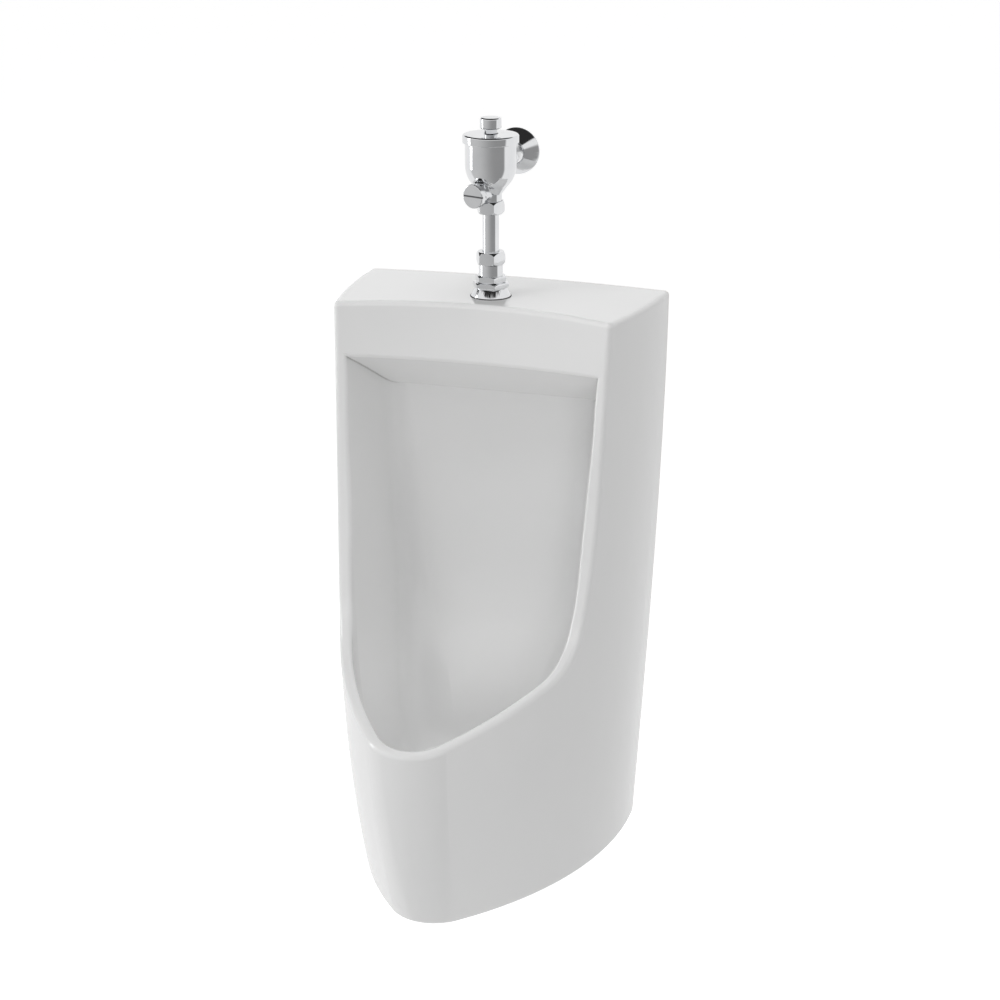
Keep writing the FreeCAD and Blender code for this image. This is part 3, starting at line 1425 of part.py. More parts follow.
def outlet_pieces():
    """The outlet pipe from the trap to the wall, its nut and seal, and the collar at the wall."""
    ceiling = "outlet_branch_end + seal_height"
    pipe_end = "drain_setback - outlet_end_gap"
    bore = "outlet_pipe_radius - outlet_pipe_wall"
    pipe = ring("outlet_pipe", bore, "outlet_pipe_radius", "outlet_pipe_start", pipe_end)
    subpart(on_outlet(pipe), "outlet_pipe")
    grip = "outlet_pipe_radius + 0.1"
    seal = ring("outlet_seal", grip, "outlet_branch_radius", "outlet_branch_end", ceiling)
    subpart(on_outlet(seal), "outlet_seal")
    hole = "outlet_pipe_radius + 0.3"
    bore = "outlet_branch_radius + thread_gap"
    nut = hex_piece("outlet_nut", "outlet_nut_corner", [
        (bore, "outlet_nut_start"),
        *chamfered("outlet_nut_corner", "outlet_nut_start", "outlet_nut_end"),
        (hole, "outlet_nut_end"),
        (hole, ceiling),
        (bore, ceiling),
    ], "outlet_nut_start", "outlet_nut_end")
    subpart(on_outlet(nut), "outlet_nut")
    collar_start = f"{pipe_end} - collar_thickness"
    collar = turned("wall_collar", [
        ("outlet_pipe_radius + 0.1", collar_start),
        ("outlet_pipe_radius + 3", collar_start),
        ("collar_radius", f"{pipe_end} - 2"),
        ("collar_radius", pipe_end),
        ("outlet_pipe_radius + 0.1", pipe_end),
    ])
    subpart(on_outlet(collar), "wall_collar")


def check_document():
    """Stops if any object failed to build, or a piece is not a valid solid."""
    for thing in doc.Objects:
        if {"Invalid", "Error"} & set(thing.State):
            raise RuntimeError(f"{thing.Name} did not build: {thing.State}")
    for piece in SUBPARTS:
        if piece.Shape.isNull() or not piece.Shape.isValid() or not piece.Shape.Solids:
            raise RuntimeError(f"{piece.Label} is not a valid solid")


urinal_body()
hanger_brackets()
spud_pieces()
spud_adapter()
flush_pipe_pieces()
valve_body()
piston_pieces()
cap_pieces()
button_pieces()
regulator_pieces()
inlet_pieces()
waste_pieces()
trap_pieces()
outlet_pieces()
doc.recompute()
check_document()

os.makedirs("parts", exist_ok=True)
for piece in SUBPARTS:
    piece.Shape.exportStep(f"parts/{piece.Label}.step")
    print(f"{piece.Label}: {len(piece.Shape.Solids)} solid(s), {piece.Shape.Volume / 1000:.2f} cm3")
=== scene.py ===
# %% [markdown]
# # A wall-hung urinal with its push-button flush valve
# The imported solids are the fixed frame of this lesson: they already have the true sizes, so nothing is
# fitted by eye. What is left for Blender is the finish. White glaze, bright plating, brass, rubber,
# moulded plastic and zinc-plated steel each get a node material, and the turned and milled pieces
# get the soft edges that polishing leaves.

# %% Load the frame and keep its box
import json
import math

import bmesh
import bpy
from mathutils import Matrix, Vector


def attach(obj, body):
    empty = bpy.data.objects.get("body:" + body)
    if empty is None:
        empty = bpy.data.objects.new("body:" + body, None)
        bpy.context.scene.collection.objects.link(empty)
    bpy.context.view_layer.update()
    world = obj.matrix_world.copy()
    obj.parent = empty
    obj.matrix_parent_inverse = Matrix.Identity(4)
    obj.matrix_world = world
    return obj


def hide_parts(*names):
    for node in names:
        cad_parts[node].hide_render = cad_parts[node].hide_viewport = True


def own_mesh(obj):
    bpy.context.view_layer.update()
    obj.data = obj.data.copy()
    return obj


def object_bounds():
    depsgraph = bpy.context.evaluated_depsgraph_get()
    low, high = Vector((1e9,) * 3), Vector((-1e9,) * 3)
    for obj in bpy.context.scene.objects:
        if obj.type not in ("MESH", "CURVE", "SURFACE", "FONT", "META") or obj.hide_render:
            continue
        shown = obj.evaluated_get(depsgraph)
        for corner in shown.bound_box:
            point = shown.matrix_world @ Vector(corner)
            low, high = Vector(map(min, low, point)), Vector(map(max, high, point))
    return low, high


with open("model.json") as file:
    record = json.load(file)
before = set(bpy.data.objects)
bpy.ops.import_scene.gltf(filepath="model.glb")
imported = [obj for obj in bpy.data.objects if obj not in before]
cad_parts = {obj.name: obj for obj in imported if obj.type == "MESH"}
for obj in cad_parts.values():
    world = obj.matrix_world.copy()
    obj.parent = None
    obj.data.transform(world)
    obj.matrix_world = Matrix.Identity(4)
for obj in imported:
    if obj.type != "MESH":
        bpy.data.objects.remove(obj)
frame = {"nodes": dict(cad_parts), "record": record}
CAD_BOX = [list(corner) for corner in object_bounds()]
NODES = frame["nodes"]
MM = 0.001
print("nodes:", len(NODES), "box:", CAD_BOX)

# %% [markdown]
# ## Helpers for node materials
# A material is a small graph. Writing each node as one call, with its settings and its plain input
# values, keeps a graph readable from top to bottom. Links are made by name, so a reader can follow
# what feeds what without opening the editor.

# %% Helpers: nodes, links and groups
def add_node(tree, kind, values=None, **settings):
    """One node with its settings, and plain values on its inputs."""
    made = tree.nodes.new(kind)
    for name, setting in settings.items():
        setattr(made, name, setting)
    for name, number in (values or {}).items():
        made.inputs[name].default_value = number
    return made


def new_group(name, inputs, outputs):
    """An empty node group with named float inputs and outputs, and its two end nodes."""
    tree = bpy.data.node_groups.new(name, "ShaderNodeTree")
    for label, start in inputs.items():
        socket = tree.interface.new_socket(label, in_out="INPUT", socket_type="NodeSocketFloat")
        socket.default_value = start
    for label in outputs:
        tree.interface.new_socket(label, in_out="OUTPUT", socket_type="NodeSocketFloat")
    return tree, tree.nodes.new("NodeGroupInput"), tree.nodes.new("NodeGroupOutput")


def use_group(tree, group, **values):
    """A group placed in a material, with its own values."""
    made = tree.nodes.new("ShaderNodeGroup")
    made.node_tree = group
    for name, number in values.items():
        made.inputs[name].default_value = number
    return made


def new_material(name):
    """A material with an empty Principled shader, and its tree."""
    material = bpy.data.materials.new(name)
    material.use_nodes = True
    tree = material.node_tree
    return material, tree, tree.nodes["Principled BSDF"]


print("helpers ready")

# %% [markdown]
# ## Effects that several finishes share
# No real surface is the same all over. Two effects are used again and again, so each is one group:
# a slow drift, which makes a finish a little lighter or duller from place to place, and a fine
# grain, which breaks up the light at the scale of the process that made the surface.
# Both read Object coordinates, so they stay on the piece when it moves.

# %% Group: slow drift
def make_drift():
    tree, start, end = new_group("SlowDrift", {"Scale": 8.0, "Contrast": 0.5}, ["Mask"])
    place = add_node(tree, "ShaderNodeTexCoord")
    noise = add_node(tree, "ShaderNodeTexNoise", {"Detail": 3.0, "Roughness": 0.5})
    spread = add_node(tree, "ShaderNodeMapRange", {"From Min": 0.3, "From Max": 0.7})
    soften = add_node(tree, "ShaderNodeMath", operation="MULTIPLY")
    tree.links.new(place.outputs["Object"], noise.inputs["Vector"])
    tree.links.new(start.outputs["Scale"], noise.inputs["Scale"])
    tree.links.new(noise.outputs["Fac"], spread.inputs["Value"])
    tree.links.new(spread.outputs["Result"], soften.inputs[0])
    tree.links.new(start.outputs["Contrast"], soften.inputs[1])
    tree.links.new(soften.outputs["Value"], end.inputs["Mask"])
    return tree


DRIFT = make_drift()
print("group:", DRIFT.name)


# %% Group: fine grain
def make_grain():
    tree, start, end = new_group("FineGrain", {"Scale": 900.0, "Depth": 1.0}, ["Height"])
    place = add_node(tree, "ShaderNodeTexCoord")
    noise = add_node(tree, "ShaderNodeTexNoise", {"Detail": 5.0, "Roughness": 0.6})
    deepen = add_node(tree, "ShaderNodeMath", operation="MULTIPLY")
    tree.links.new(place.outputs["Object"], noise.inputs["Vector"])
    tree.links.new(start.outputs["Scale"], noise.inputs["Scale"])
    tree.links.new(noise.outputs["Fac"], deepen.inputs[0])
    tree.links.new(start.outputs["Depth"], deepen.inputs[1])
    tree.links.new(deepen.outputs["Value"], end.inputs["Height"])
    return tree


GRAIN = make_grain()
print("group:", GRAIN.name)


# %% Helpers: how a mask reaches a shader
def tint(tree, mask, shader, dark, light):
    """Base Color between two colours, by a mask."""
    mix = add_node(tree, "ShaderNodeMix", data_type="RGBA")
    mix.inputs["A"].default_value = (*dark, 1.0)
    mix.inputs["B"].default_value = (*light, 1.0)
    tree.links.new(mask, mix.inputs["Factor"])
    tree.links.new(mix.outputs["Result"], shader.inputs["Base Color"])


def overlay(tree, mask, shader, colour):
    """A second colour over the one that Base Color already has, by a mask."""
    below = shader.inputs["Base Color"].links[0].from_socket
    mix = add_node(tree, "ShaderNodeMix", data_type="RGBA")
    mix.inputs["B"].default_value = (*colour, 1.0)
    tree.links.new(mask, mix.inputs["Factor"])
    tree.links.new(below, mix.inputs["A"])
    tree.links.new(mix.outputs["Result"], shader.inputs["Base Color"])


def polish(tree, mask, shader, smooth, dull):
    """Roughness between two values, by a mask."""
    spread = add_node(tree, "ShaderNodeMapRange", {"To Min": smooth, "To Max": dull})
    tree.links.new(mask, spread.inputs["Value"])
    tree.links.new(spread.outputs["Result"], shader.inputs["Roughness"])


def relief(tree, height, shader, strength, distance):
    """A bump from a height, on the shader's normal."""
    bump = add_node(tree, "ShaderNodeBump", {"Strength": strength, "Distance": distance})
    tree.links.new(height, bump.inputs["Height"])
    tree.links.new(bump.outputs["Normal"], shader.inputs["Normal"])


def patches_and_grain(tree, patch_scale, grain_scale):
    """The drift's mask and the grain's height, each at the finish's own scale."""
    drift = use_group(tree, DRIFT, Scale=patch_scale, Contrast=1.0)
    grain = use_group(tree, GRAIN, Scale=grain_scale, Depth=1.0)
    return drift.outputs["Mask"], grain.outputs["Height"]


def height_in(tree):
    """The height of a point, from its Object coordinates."""
    place = add_node(tree, "ShaderNodeTexCoord")
    axes = add_node(tree, "ShaderNodeSeparateXYZ")
    tree.links.new(place.outputs["Object"], axes.inputs["Vector"])
    return axes.outputs["Z"]


print("mask helpers ready")

# %% [markdown]
# ## White glaze
# Vitreous china is a dense white body under a layer of clear glass about a third of a millimetre
# thick. The body scatters light softly and the glass on top gives the sharp highlight, so the
# shader has a dull white base under a smooth coat. Glaze flows before it sets, which leaves a very
# slight waviness: a broad, shallow bump shows it in the long highlights on the rims.
# The casting stands on its foot in the kiln and hangs with its back on the wall, so those two faces
# are wiped bare before firing: they are dull and a little creamy, and have no coat.
# Sharp inside corners get a thin grey line of painted shade, where little light would reach. How
# much of the open space a point can see tells such a corner from a flat. The bowl is rounded all
# over, so only the recess above it gets the line.

# %% Group: where the glaze is wiped off
def make_bare_clay():
    tree, start, end = new_group("BareClay", {"Foot": -0.539, "Back": -0.0008}, ["Mask", "Glazed"])
    place = add_node(tree, "ShaderNodeTexCoord")
    axes = add_node(tree, "ShaderNodeSeparateXYZ")
    below = add_node(tree, "ShaderNodeMath", operation="LESS_THAN")
    behind = add_node(tree, "ShaderNodeMath", operation="GREATER_THAN")
    either = add_node(tree, "ShaderNodeMath", operation="MAXIMUM")
    rest = add_node(tree, "ShaderNodeMath", {0: 1.0}, operation="SUBTRACT")
    tree.links.new(place.outputs["Object"], axes.inputs["Vector"])
    tree.links.new(axes.outputs["Z"], below.inputs[0])
    tree.links.new(start.outputs["Foot"], below.inputs[1])
    tree.links.new(axes.outputs["Y"], behind.inputs[0])
    tree.links.new(start.outputs["Back"], behind.inputs[1])
    tree.links.new(below.outputs["Value"], either.inputs[0])
    tree.links.new(behind.outputs["Value"], either.inputs[1])
    tree.links.new(either.outputs["Value"], rest.inputs[1])
    tree.links.new(either.outputs["Value"], end.inputs["Mask"])
    tree.links.new(rest.outputs["Value"], end.inputs["Glazed"])
    return tree


BARE_CLAY = make_bare_clay()
print("group:", BARE_CLAY.name)


# %% Helper: painted shade in sharp inside corners
CORNERS_ABOVE = -0.2
CORNER_REACH = 0.003
CORNER_OPEN = 0.86
CORNER_SHUT = 0.6


def painted_corner_shade(tree):
    """A mask of painted shade for the last two millimetres on both sides of a sharp corner in the upper
    recess.
    """
    open_sky = add_node(
        tree, "ShaderNodeAmbientOcclusion", {"Distance": CORNER_REACH}, samples=6, only_local=True
    )
    line = add_node(tree, "ShaderNodeMapRange", {"From Min": CORNER_OPEN, "From Max": CORNER_SHUT})
    above = add_node(tree, "ShaderNodeMath", {1: CORNERS_ABOVE}, operation="GREATER_THAN")
    corner = add_node(tree, "ShaderNodeMath", operation="MULTIPLY")
    tree.links.new(open_sky.outputs["AO"], line.inputs["Value"])
    tree.links.new(height_in(tree), above.inputs[0])
    tree.links.new(line.outputs["Result"], corner.inputs[0])
    tree.links.new(above.outputs["Value"], corner.inputs[1])
    return corner.outputs["Value"]


print("inside corners are looked for above", CORNERS_ABOVE)


# %% Material: white glaze
def white_glaze():
    material, tree, shader = new_material("white_glaze")
    shader.inputs["Coat Roughness"].default_value = 0.04
    shader.inputs["Coat IOR"].default_value = 1.5
    shader.inputs["Specular IOR Level"].default_value = 0.3
    patches, waves = patches_and_grain(tree, patch_scale=5.0, grain_scale=26.0)
    bare = use_group(tree, BARE_CLAY)
    tint(tree, patches, shader, dark=(0.905, 0.907, 0.905), light=(0.93, 0.93, 0.927))
    overlay(tree, bare.outputs["Mask"], shader, colour=(0.80, 0.76, 0.68))
    # Painted shade: a thin grey line where the recess's sharp inside corners see little open space.
    overlay(tree, painted_corner_shade(tree), shader, colour=(0.52, 0.52, 0.51))
    tree.links.new(bare.outputs["Glazed"], shader.inputs["Coat Weight"])
    polish(tree, patches, shader, smooth=0.32, dull=0.42)
    relief(tree, waves, shader, strength=0.12, distance=0.0006)
    return material


GLAZE = white_glaze()
print("material:", GLAZE.name)

# %% [markdown]
# ## Bright plating
# The valve and its pipe are brass, polished and plated with nickel and chromium. Plating is a mirror
# with a slightly cool colour. It is never quite perfect: wiping leaves faint dull patches, and the
# polishing wheel leaves a very fine grain. The regulator's screwdriver slot is painted dark: that is
# painted shade, the shadow inside the slot. That place is found by its height and by its distance
# along the regulator's axis, which both stay on the spindle when it turns. The drain at the bottom
# of the bowl is brushed, so everything plated below its height is satin.

# %% Group: painted shade inside the screwdriver slot
VALVE_Y = -0.088
REGULATOR = (0.0, VALVE_Y, 0.1672)
REGULATOR_TURN = math.radians(18)
REGULATOR_OUT = (-math.sin(REGULATOR_TURN), -math.cos(REGULATOR_TURN), 0.0)


def make_painted_slot_shade():
    sizes = {"Half Width": 0.00084, "Floor": 0.0293, "Face": 0.0308}
    tree, start, end = new_group("PaintedSlotShade", sizes, ["Mask"])
    place = add_node(tree, "ShaderNodeTexCoord")
    offset = add_node(tree, "ShaderNodeVectorMath", {1: REGULATOR}, operation="SUBTRACT")
    along = add_node(tree, "ShaderNodeVectorMath", {1: REGULATOR_OUT}, operation="DOT_PRODUCT")
    axes = add_node(tree, "ShaderNodeSeparateXYZ")
    height = add_node(tree, "ShaderNodeMath", operation="ABSOLUTE")
    near = add_node(tree, "ShaderNodeMath", operation="LESS_THAN")
    past_floor = add_node(tree, "ShaderNodeMath", operation="GREATER_THAN")
    before_face = add_node(tree, "ShaderNodeMath", operation="LESS_THAN")
    depth = add_node(tree, "ShaderNodeMath", operation="MULTIPLY")
    inside = add_node(tree, "ShaderNodeMath", operation="MULTIPLY")
    tree.links.new(place.outputs["Object"], offset.inputs[0])
    tree.links.new(offset.outputs["Vector"], along.inputs[0])
    tree.links.new(offset.outputs["Vector"], axes.inputs["Vector"])
    tree.links.new(axes.outputs["Z"], height.inputs[0])
    tree.links.new(height.outputs["Value"], near.inputs[0])
    tree.links.new(start.outputs["Half Width"], near.inputs[1])
    tree.links.new(along.outputs["Value"], past_floor.inputs[0])
    tree.links.new(start.outputs["Floor"], past_floor.inputs[1])
    tree.links.new(along.outputs["Value"], before_face.inputs[0])
    tree.links.new(start.outputs["Face"], before_face.inputs[1])
    tree.links.new(past_floor.outputs["Value"], depth.inputs[0])
    tree.links.new(before_face.outputs["Value"], depth.inputs[1])
    tree.links.new(depth.outputs["Value"], inside.inputs[0])
    tree.links.new(near.outputs["Value"], inside.inputs[1])
    tree.links.new(inside.outputs["Value"], end.inputs["Mask"])
    return tree


PAINTED_SLOT_SHADE = make_painted_slot_shade()
print("group:", PAINTED_SLOT_SHADE.name)


# %% Helper: a satin finish on the drain
SATIN_BELOW = -0.39
SATIN = 0.34


def satin_drain(tree, shader):
    """A satin finish on all plating below the bowl: the drain, which is brushed, not polished."""
    polished = shader.inputs["Roughness"].links[0].from_socket
    below = add_node(tree, "ShaderNodeMath", {1: SATIN_BELOW}, operation="LESS_THAN")
    mix = add_node(tree, "ShaderNodeMix")
    mix.inputs["B"].default_value = SATIN
    tree.links.new(height_in(tree), below.inputs[0])
    tree.links.new(below.outputs["Value"], mix.inputs["Factor"])
    tree.links.new(polished, mix.inputs["A"])
    tree.links.new(mix.outputs["Result"], shader.inputs["Roughness"])


print("plating is satin below", SATIN_BELOW)


# %% Material: bright plating
def bright_plating():
    material, tree, shader = new_material("chrome")
    shader.inputs["Metallic"].default_value = 1.0
    patches, grain = patches_and_grain(tree, patch_scale=45.0, grain_scale=700.0)
    slot = use_group(tree, PAINTED_SLOT_SHADE)
    tint(tree, patches, shader, dark=(0.74, 0.75, 0.765), light=(0.80, 0.805, 0.815))
    # Painted shade: the screwdriver slot is darkened where its own shadow falls.
    overlay(tree, slot.outputs["Mask"], shader, colour=(0.16, 0.16, 0.165))
    polish(tree, patches, shader, smooth=0.045, dull=0.10)
    satin_drain(tree, shader)
    relief(tree, grain, shader, strength=0.02, distance=0.0001)
    return material


CHROME = bright_plating()
print("material:", CHROME.name)

# %% [markdown]
# ## Brass, rubber, plastic and zinc
# Four quieter finishes are inside the valve and behind the skirt. Bare brass tarnishes in patches,
# moulded rubber is matte with a fine skin, polypropylene has a soft gloss, and zinc plating on
# steel shows small grey grains.

# %% Material: bare brass
def bare_brass():
    material, tree, shader = new_material("brass")
    shader.inputs["Metallic"].default_value = 1.0
    patches, grain = patches_and_grain(tree, patch_scale=60.0, grain_scale=500.0)
    tint(tree, patches, shader, dark=(0.55, 0.38, 0.15), light=(0.78, 0.58, 0.28))
    polish(tree, patches, shader, smooth=0.22, dull=0.42)
    relief(tree, grain, shader, strength=0.08, distance=0.0002)
    return material


BRASS = bare_brass()
print("material:", BRASS.name)


# %% Material: moulded rubber
def moulded_rubber():
    material, tree, shader = new_material("black_rubber")
    patches, skin = patches_and_grain(tree, patch_scale=40.0, grain_scale=1400.0)
    tint(tree, patches, shader, dark=(0.018, 0.018, 0.019), light=(0.04, 0.04, 0.042))
    polish(tree, patches, shader, smooth=0.55, dull=0.75)
    relief(tree, skin, shader, strength=0.25, distance=0.0002)
    return material


RUBBER = moulded_rubber()
print("material:", RUBBER.name)


# %% Material: white plastic
def white_plastic():
    material, tree, shader = new_material("white_plastic")
    patches, grain = patches_and_grain(tree, patch_scale=18.0, grain_scale=650.0)
    tint(tree, patches, shader, dark=(0.76, 0.76, 0.74), light=(0.82, 0.82, 0.80))
    polish(tree, patches, shader, smooth=0.28, dull=0.4)
    relief(tree, grain, shader, strength=0.10, distance=0.0002)
    return material


PLASTIC = white_plastic()
print("material:", PLASTIC.name)


# %% Material: zinc-plated steel
def zinc_steel():
    material, tree, shader = new_material("zinc_steel")
    shader.inputs["Metallic"].default_value = 1.0
    place = add_node(tree, "ShaderNodeTexCoord")
    crystals = add_node(tree, "ShaderNodeTexVoronoi", {"Scale": 220.0, "Randomness": 1.0})
    split = add_node(tree, "ShaderNodeSeparateColor")
    grain = use_group(tree, GRAIN, Scale=900.0, Depth=1.0)
    tree.links.new(place.outputs["Object"], crystals.inputs["Vector"])
    tree.links.new(crystals.outputs["Color"], split.inputs["Color"])
    tint(tree, split.outputs["Red"], shader, dark=(0.50, 0.51, 0.53), light=(0.66, 0.67, 0.68))
    polish(tree, split.outputs["Green"], shader, smooth=0.30, dull=0.48)
    relief(tree, grain.outputs["Height"], shader, strength=0.05, distance=0.0002)
    return material


ZINC = zinc_steel()
print("material:", ZINC.name)

# %% [markdown]
# ## Every solid gets its finish
# The record says which slot each node belongs to. Giving a node its finish is a matter of putting
# the material into its object's slots; the mesh itself isn't touched.

# %% Assign the finishes
SLOT_OF = {part["node"]: part["material_slot"] for part in frame["record"]["subparts"]}
FINISHES = {
    "white_glaze": GLAZE,
    "chrome": CHROME,
    "brass": BRASS,
    "black_rubber": RUBBER,
    "white_plastic": PLASTIC,
    "zinc_steel": ZINC,
}


def dress(thing, slot):
    """Puts one finish on a whole object."""
    thing.data.materials.clear()
    thing.data.materials.append(FINISHES[slot])


for node_name, node in NODES.items():
    dress(node, SLOT_OF[node_name])
print("dressed:", len(NODES))

# %% [markdown]
# ## Polished edges
# The solids have knife-sharp edges. On the real pieces the polishing wheel has rounded every one,
# and that thin bright line is most of what makes plating look like metal. A copy of the solid's
# mesh is merged into one skin, its flat faces are joined again, and its sharp edges are bevelled.

# %% Helpers: from a solid to a piece
BODIES = frame["record"]["behaviour"]["bodies"]
BODY_OF = {name: body for body, names in BODIES.items() for name in names}
SHARP = math.radians(24)
SKIN_WELD = 2e-6


def merged_copy(node_name):
    """A bmesh with the solid's triangles joined into one skin."""
    skin = bmesh.new()
    skin.from_mesh(NODES[node_name].data)
    bmesh.ops.remove_doubles(skin, verts=skin.verts, dist=SKIN_WELD)
    return skin


def linked(name, data):
    """A new object in the scene, with its data."""
    made = bpy.data.objects.new(name, data)
    bpy.context.scene.collection.objects.link(made)
    return made


def new_piece(skin, name, node_name):
    """Turns a bmesh into a piece that rides with a node's body and has the node's finish."""
    mesh = bpy.data.meshes.new(name)
    skin.to_mesh(mesh)
    skin.free()
    mesh.shade_smooth()
    mesh.set_sharp_from_angle(angle=SHARP)
    piece = linked(name, mesh)
    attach(piece, BODY_OF[node_name])
    dress(piece, SLOT_OF[node_name])
    print(name, len(mesh.polygons), "faces")
    return piece


def stand_in(skin, name, node_name):
    """A new piece that stands for the whole node."""
    piece = new_piece(skin, name, node_name)
    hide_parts(node_name)
    return piece


print("bodies:", ", ".join(BODIES))

# %% Helper: a copy of a solid with softened edges
FLAT = math.radians(0.4)


def softened(node_name, width):
    """A piece like the node, with its sharp edges rounded to a width in millimetres."""
    skin = merged_copy(node_name)
    bmesh.ops.dissolve_limit(
        skin, angle_limit=FLAT, verts=skin.verts, edges=skin.edges, use_dissolve_boundaries=False
    )
    sharp = [edge for edge in skin.edges if edge.is_manifold and edge.calc_face_angle() > SHARP]
    bmesh.ops.bevel(
        skin, geom=sharp, offset=width * MM, segments=3, profile=0.5, affect="EDGES", material=-1,
        clamp_overlap=True,
    )
    return stand_in(skin, "soft_" + node_name, node_name)


print("edges are sharp past", round(math.degrees(SHARP)), "degrees")

# %% Soften the turned, milled and pressed pieces
EDGE_WIDTHS = {
    "spud_escutcheon": 0.25,
    "cover_nut": 0.35,
    "spud_adapter": 0.35,
    "lower_union_nut": 0.4,
    "upper_union_nut": 0.4,
    "inlet_union_nut": 0.4,
    "regulator_gland": 0.3,
    "regulator_spindle": 0.25,
    "valve_cap": 0.25,
    "push_button": 0.2,
    "wall_flange": 0.25,
    "drain_strainer": 0.2,
    "strainer_screw": 0.2,
    "waste_backnut": 0.5,
    "trap_nut": 0.6,
    "trap_cup": 0.6,
    "outlet_nut": 0.5,
    "wall_collar": 0.5,
    "hanger_brackets": 0.3,
}
for node_name, width in EDGE_WIDTHS.items():
    softened(node_name, width)
print("softened:", len(EDGE_WIDTHS))

# %% [markdown]
# ## The button's spring
# The return spring stands on a shelf inside the cap, and the button's neck presses on its top. It is
# almost 10 mm high, and the button goes down by 5 mm. Its piece is a copy of the solid, with a mesh of
# its own.


def return_spring():
    piece = stand_in(merged_copy("button_spring"), "return_spring", "button_spring")
    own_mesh(piece)
    return piece


print(return_spring().name, "ready")

# %% [markdown]
# ## Screw threads
# A thread could be a bump, but a bump has no outline. Here it is a real ridge: a row of teeth is drawn
# along the axis and spun once round it while it moves on by one pitch. Each tooth ends where the next
# one began, so welding the seam gives one helix. The solids have plain cylinders at these places.

# %% Helpers: turning about an axis
TURN_STEPS = 48
CENTRE = (0.0, 0.0, 0.0)
UP = (0.0, 0.0, 1.0)
DOWN = (0.0, 0.0, -1.0)


def whole(skin):
    """Everything in a bmesh, for an operator that takes all of it."""
    return skin.verts[:] + skin.edges[:] + skin.faces[:]


def outline(skin, profile, closed):
    """A line through points of radius and height, beside the Z axis."""
    verts = [skin.verts.new((radius, 0.0, height)) for radius, height in profile]
    following = verts[1:] + verts[:1] if closed else verts[1:]
    return verts + [skin.edges.new(pair) for pair in zip(verts, following)]


def to_metres(skin):
    """Turns the faces outwards and goes from millimetres to metres."""
    bmesh.ops.recalc_face_normals(skin, faces=skin.faces)
    bmesh.ops.scale(skin, vec=(MM, MM, MM), verts=skin.verts)
    return skin


def turned(profile, steps, closed):
    """A profile in millimetres, spun once round the Z axis."""
    skin = bmesh.new()
    line = outline(skin, profile, closed)
    bmesh.ops.spin(
        skin, geom=line, cent=CENTRE, axis=UP, angle=math.tau, steps=steps, use_merge=True
    )
    return to_metres(skin)


print("steps in a turn:", TURN_STEPS)

# %% Helper: a helical thread
FLANK_FROM = 0.15
CREST_FROM = 0.45
CREST_TO = 0.70
SPARE_TEETH = 3
HEAD_START = 1.5
LIP_SHARE = 0.12
SEAM_WELD = 0.002


def tooth_row(length, root, crest, pitch):
    """A zigzag of tooth flanks along +Z, a little longer than needed at both ends."""
    points = []
    for number in range(int(length / pitch) + SPARE_TEETH):
        foot = (number - HEAD_START) * pitch
        points.append((root, foot))
        points.append((root, foot + pitch * FLANK_FROM))
        points.append((crest, foot + pitch * CREST_FROM))
        points.append((crest, foot + pitch * CREST_TO))
    return points


def trim(skin, height, away):
    """Cuts the thread square at a height, and turns the cut edge inwards to close the ridge."""
    found = bmesh.ops.bisect_plane(
        skin, geom=whole(skin), plane_co=(0.0, 0.0, height), plane_no=away, clear_outer=True
    )
    rim = [edge for edge in found["geom_cut"] if isinstance(edge, bmesh.types.BMEdge)]
    lip = bmesh.ops.extrude_edge_only(skin, edges=rim)["geom"]
    for vert in (item for item in lip if isinstance(item, bmesh.types.BMVert)):
        flat = Vector((vert.co.x, vert.co.y, 0.0))
        vert.co -= flat * LIP_SHARE


def helix(length, root, crest, pitch):
    """A threaded sleeve along +Z from 0 to a length, given in millimetres."""
    skin = bmesh.new()
    line = outline(skin, tooth_row(length, root, crest, pitch), closed=False)
    bmesh.ops.spin(
        skin, geom=line, cent=CENTRE, axis=UP, dvec=(0.0, 0.0, pitch / TURN_STEPS),
        angle=math.tau, steps=TURN_STEPS, use_merge=False,
    )
    bmesh.ops.remove_doubles(skin, verts=skin.verts, dist=SEAM_WELD)
    trim(skin, 0.0, away=DOWN)
    trim(skin, length, away=UP)
    return to_metres(skin)


print("a tooth's crest takes", round(CREST_TO - CREST_FROM, 2), "of the pitch")

# %% [markdown]
# The supply nipple carries a half-inch pipe thread at its wall end: 14 turns to the inch, 20.96 mm over
# the crests. The solid's cylinder has the crest's size, so its end is cut off and made again as a
# core with the thread round it.

# %% The nipple's threaded end
INLET_HEIGHT = 0.1937
NIPPLE_END = 15.0
NIPPLE_CORE = 9.5
NIPPLE_CREST = 10.48
NIPPLE_BORE = 7.5
NIPPLE_CHAMFER = 0.6
HALF_INCH_PITCH = 1.814
CUT_Y = -0.0002
CORE_START_Y = -0.0005
CORE_OVERLAP = 0.5
BARE_TIP = 0.4
ROOT_SINK = 0.3


def nipple_core():
    """A plain tube along +Z, with a small chamfer at its far end."""
    length = NIPPLE_END + CORE_OVERLAP
    profile = [
        (NIPPLE_BORE, 0.0),
        (NIPPLE_BORE, length),
        (NIPPLE_CORE - NIPPLE_CHAMFER, length),
        (NIPPLE_CORE, length - NIPPLE_CHAMFER),
        (NIPPLE_CORE, 0.0),
    ]
    return turned(profile, TURN_STEPS, closed=False)


def join(skin, other, place):
    """Adds another bmesh at a place, and frees it."""
    other.transform(place)
    spare = bpy.data.meshes.new("spare")
    other.to_mesh(spare)
    other.free()
    skin.from_mesh(spare)
    bpy.data.meshes.remove(spare)


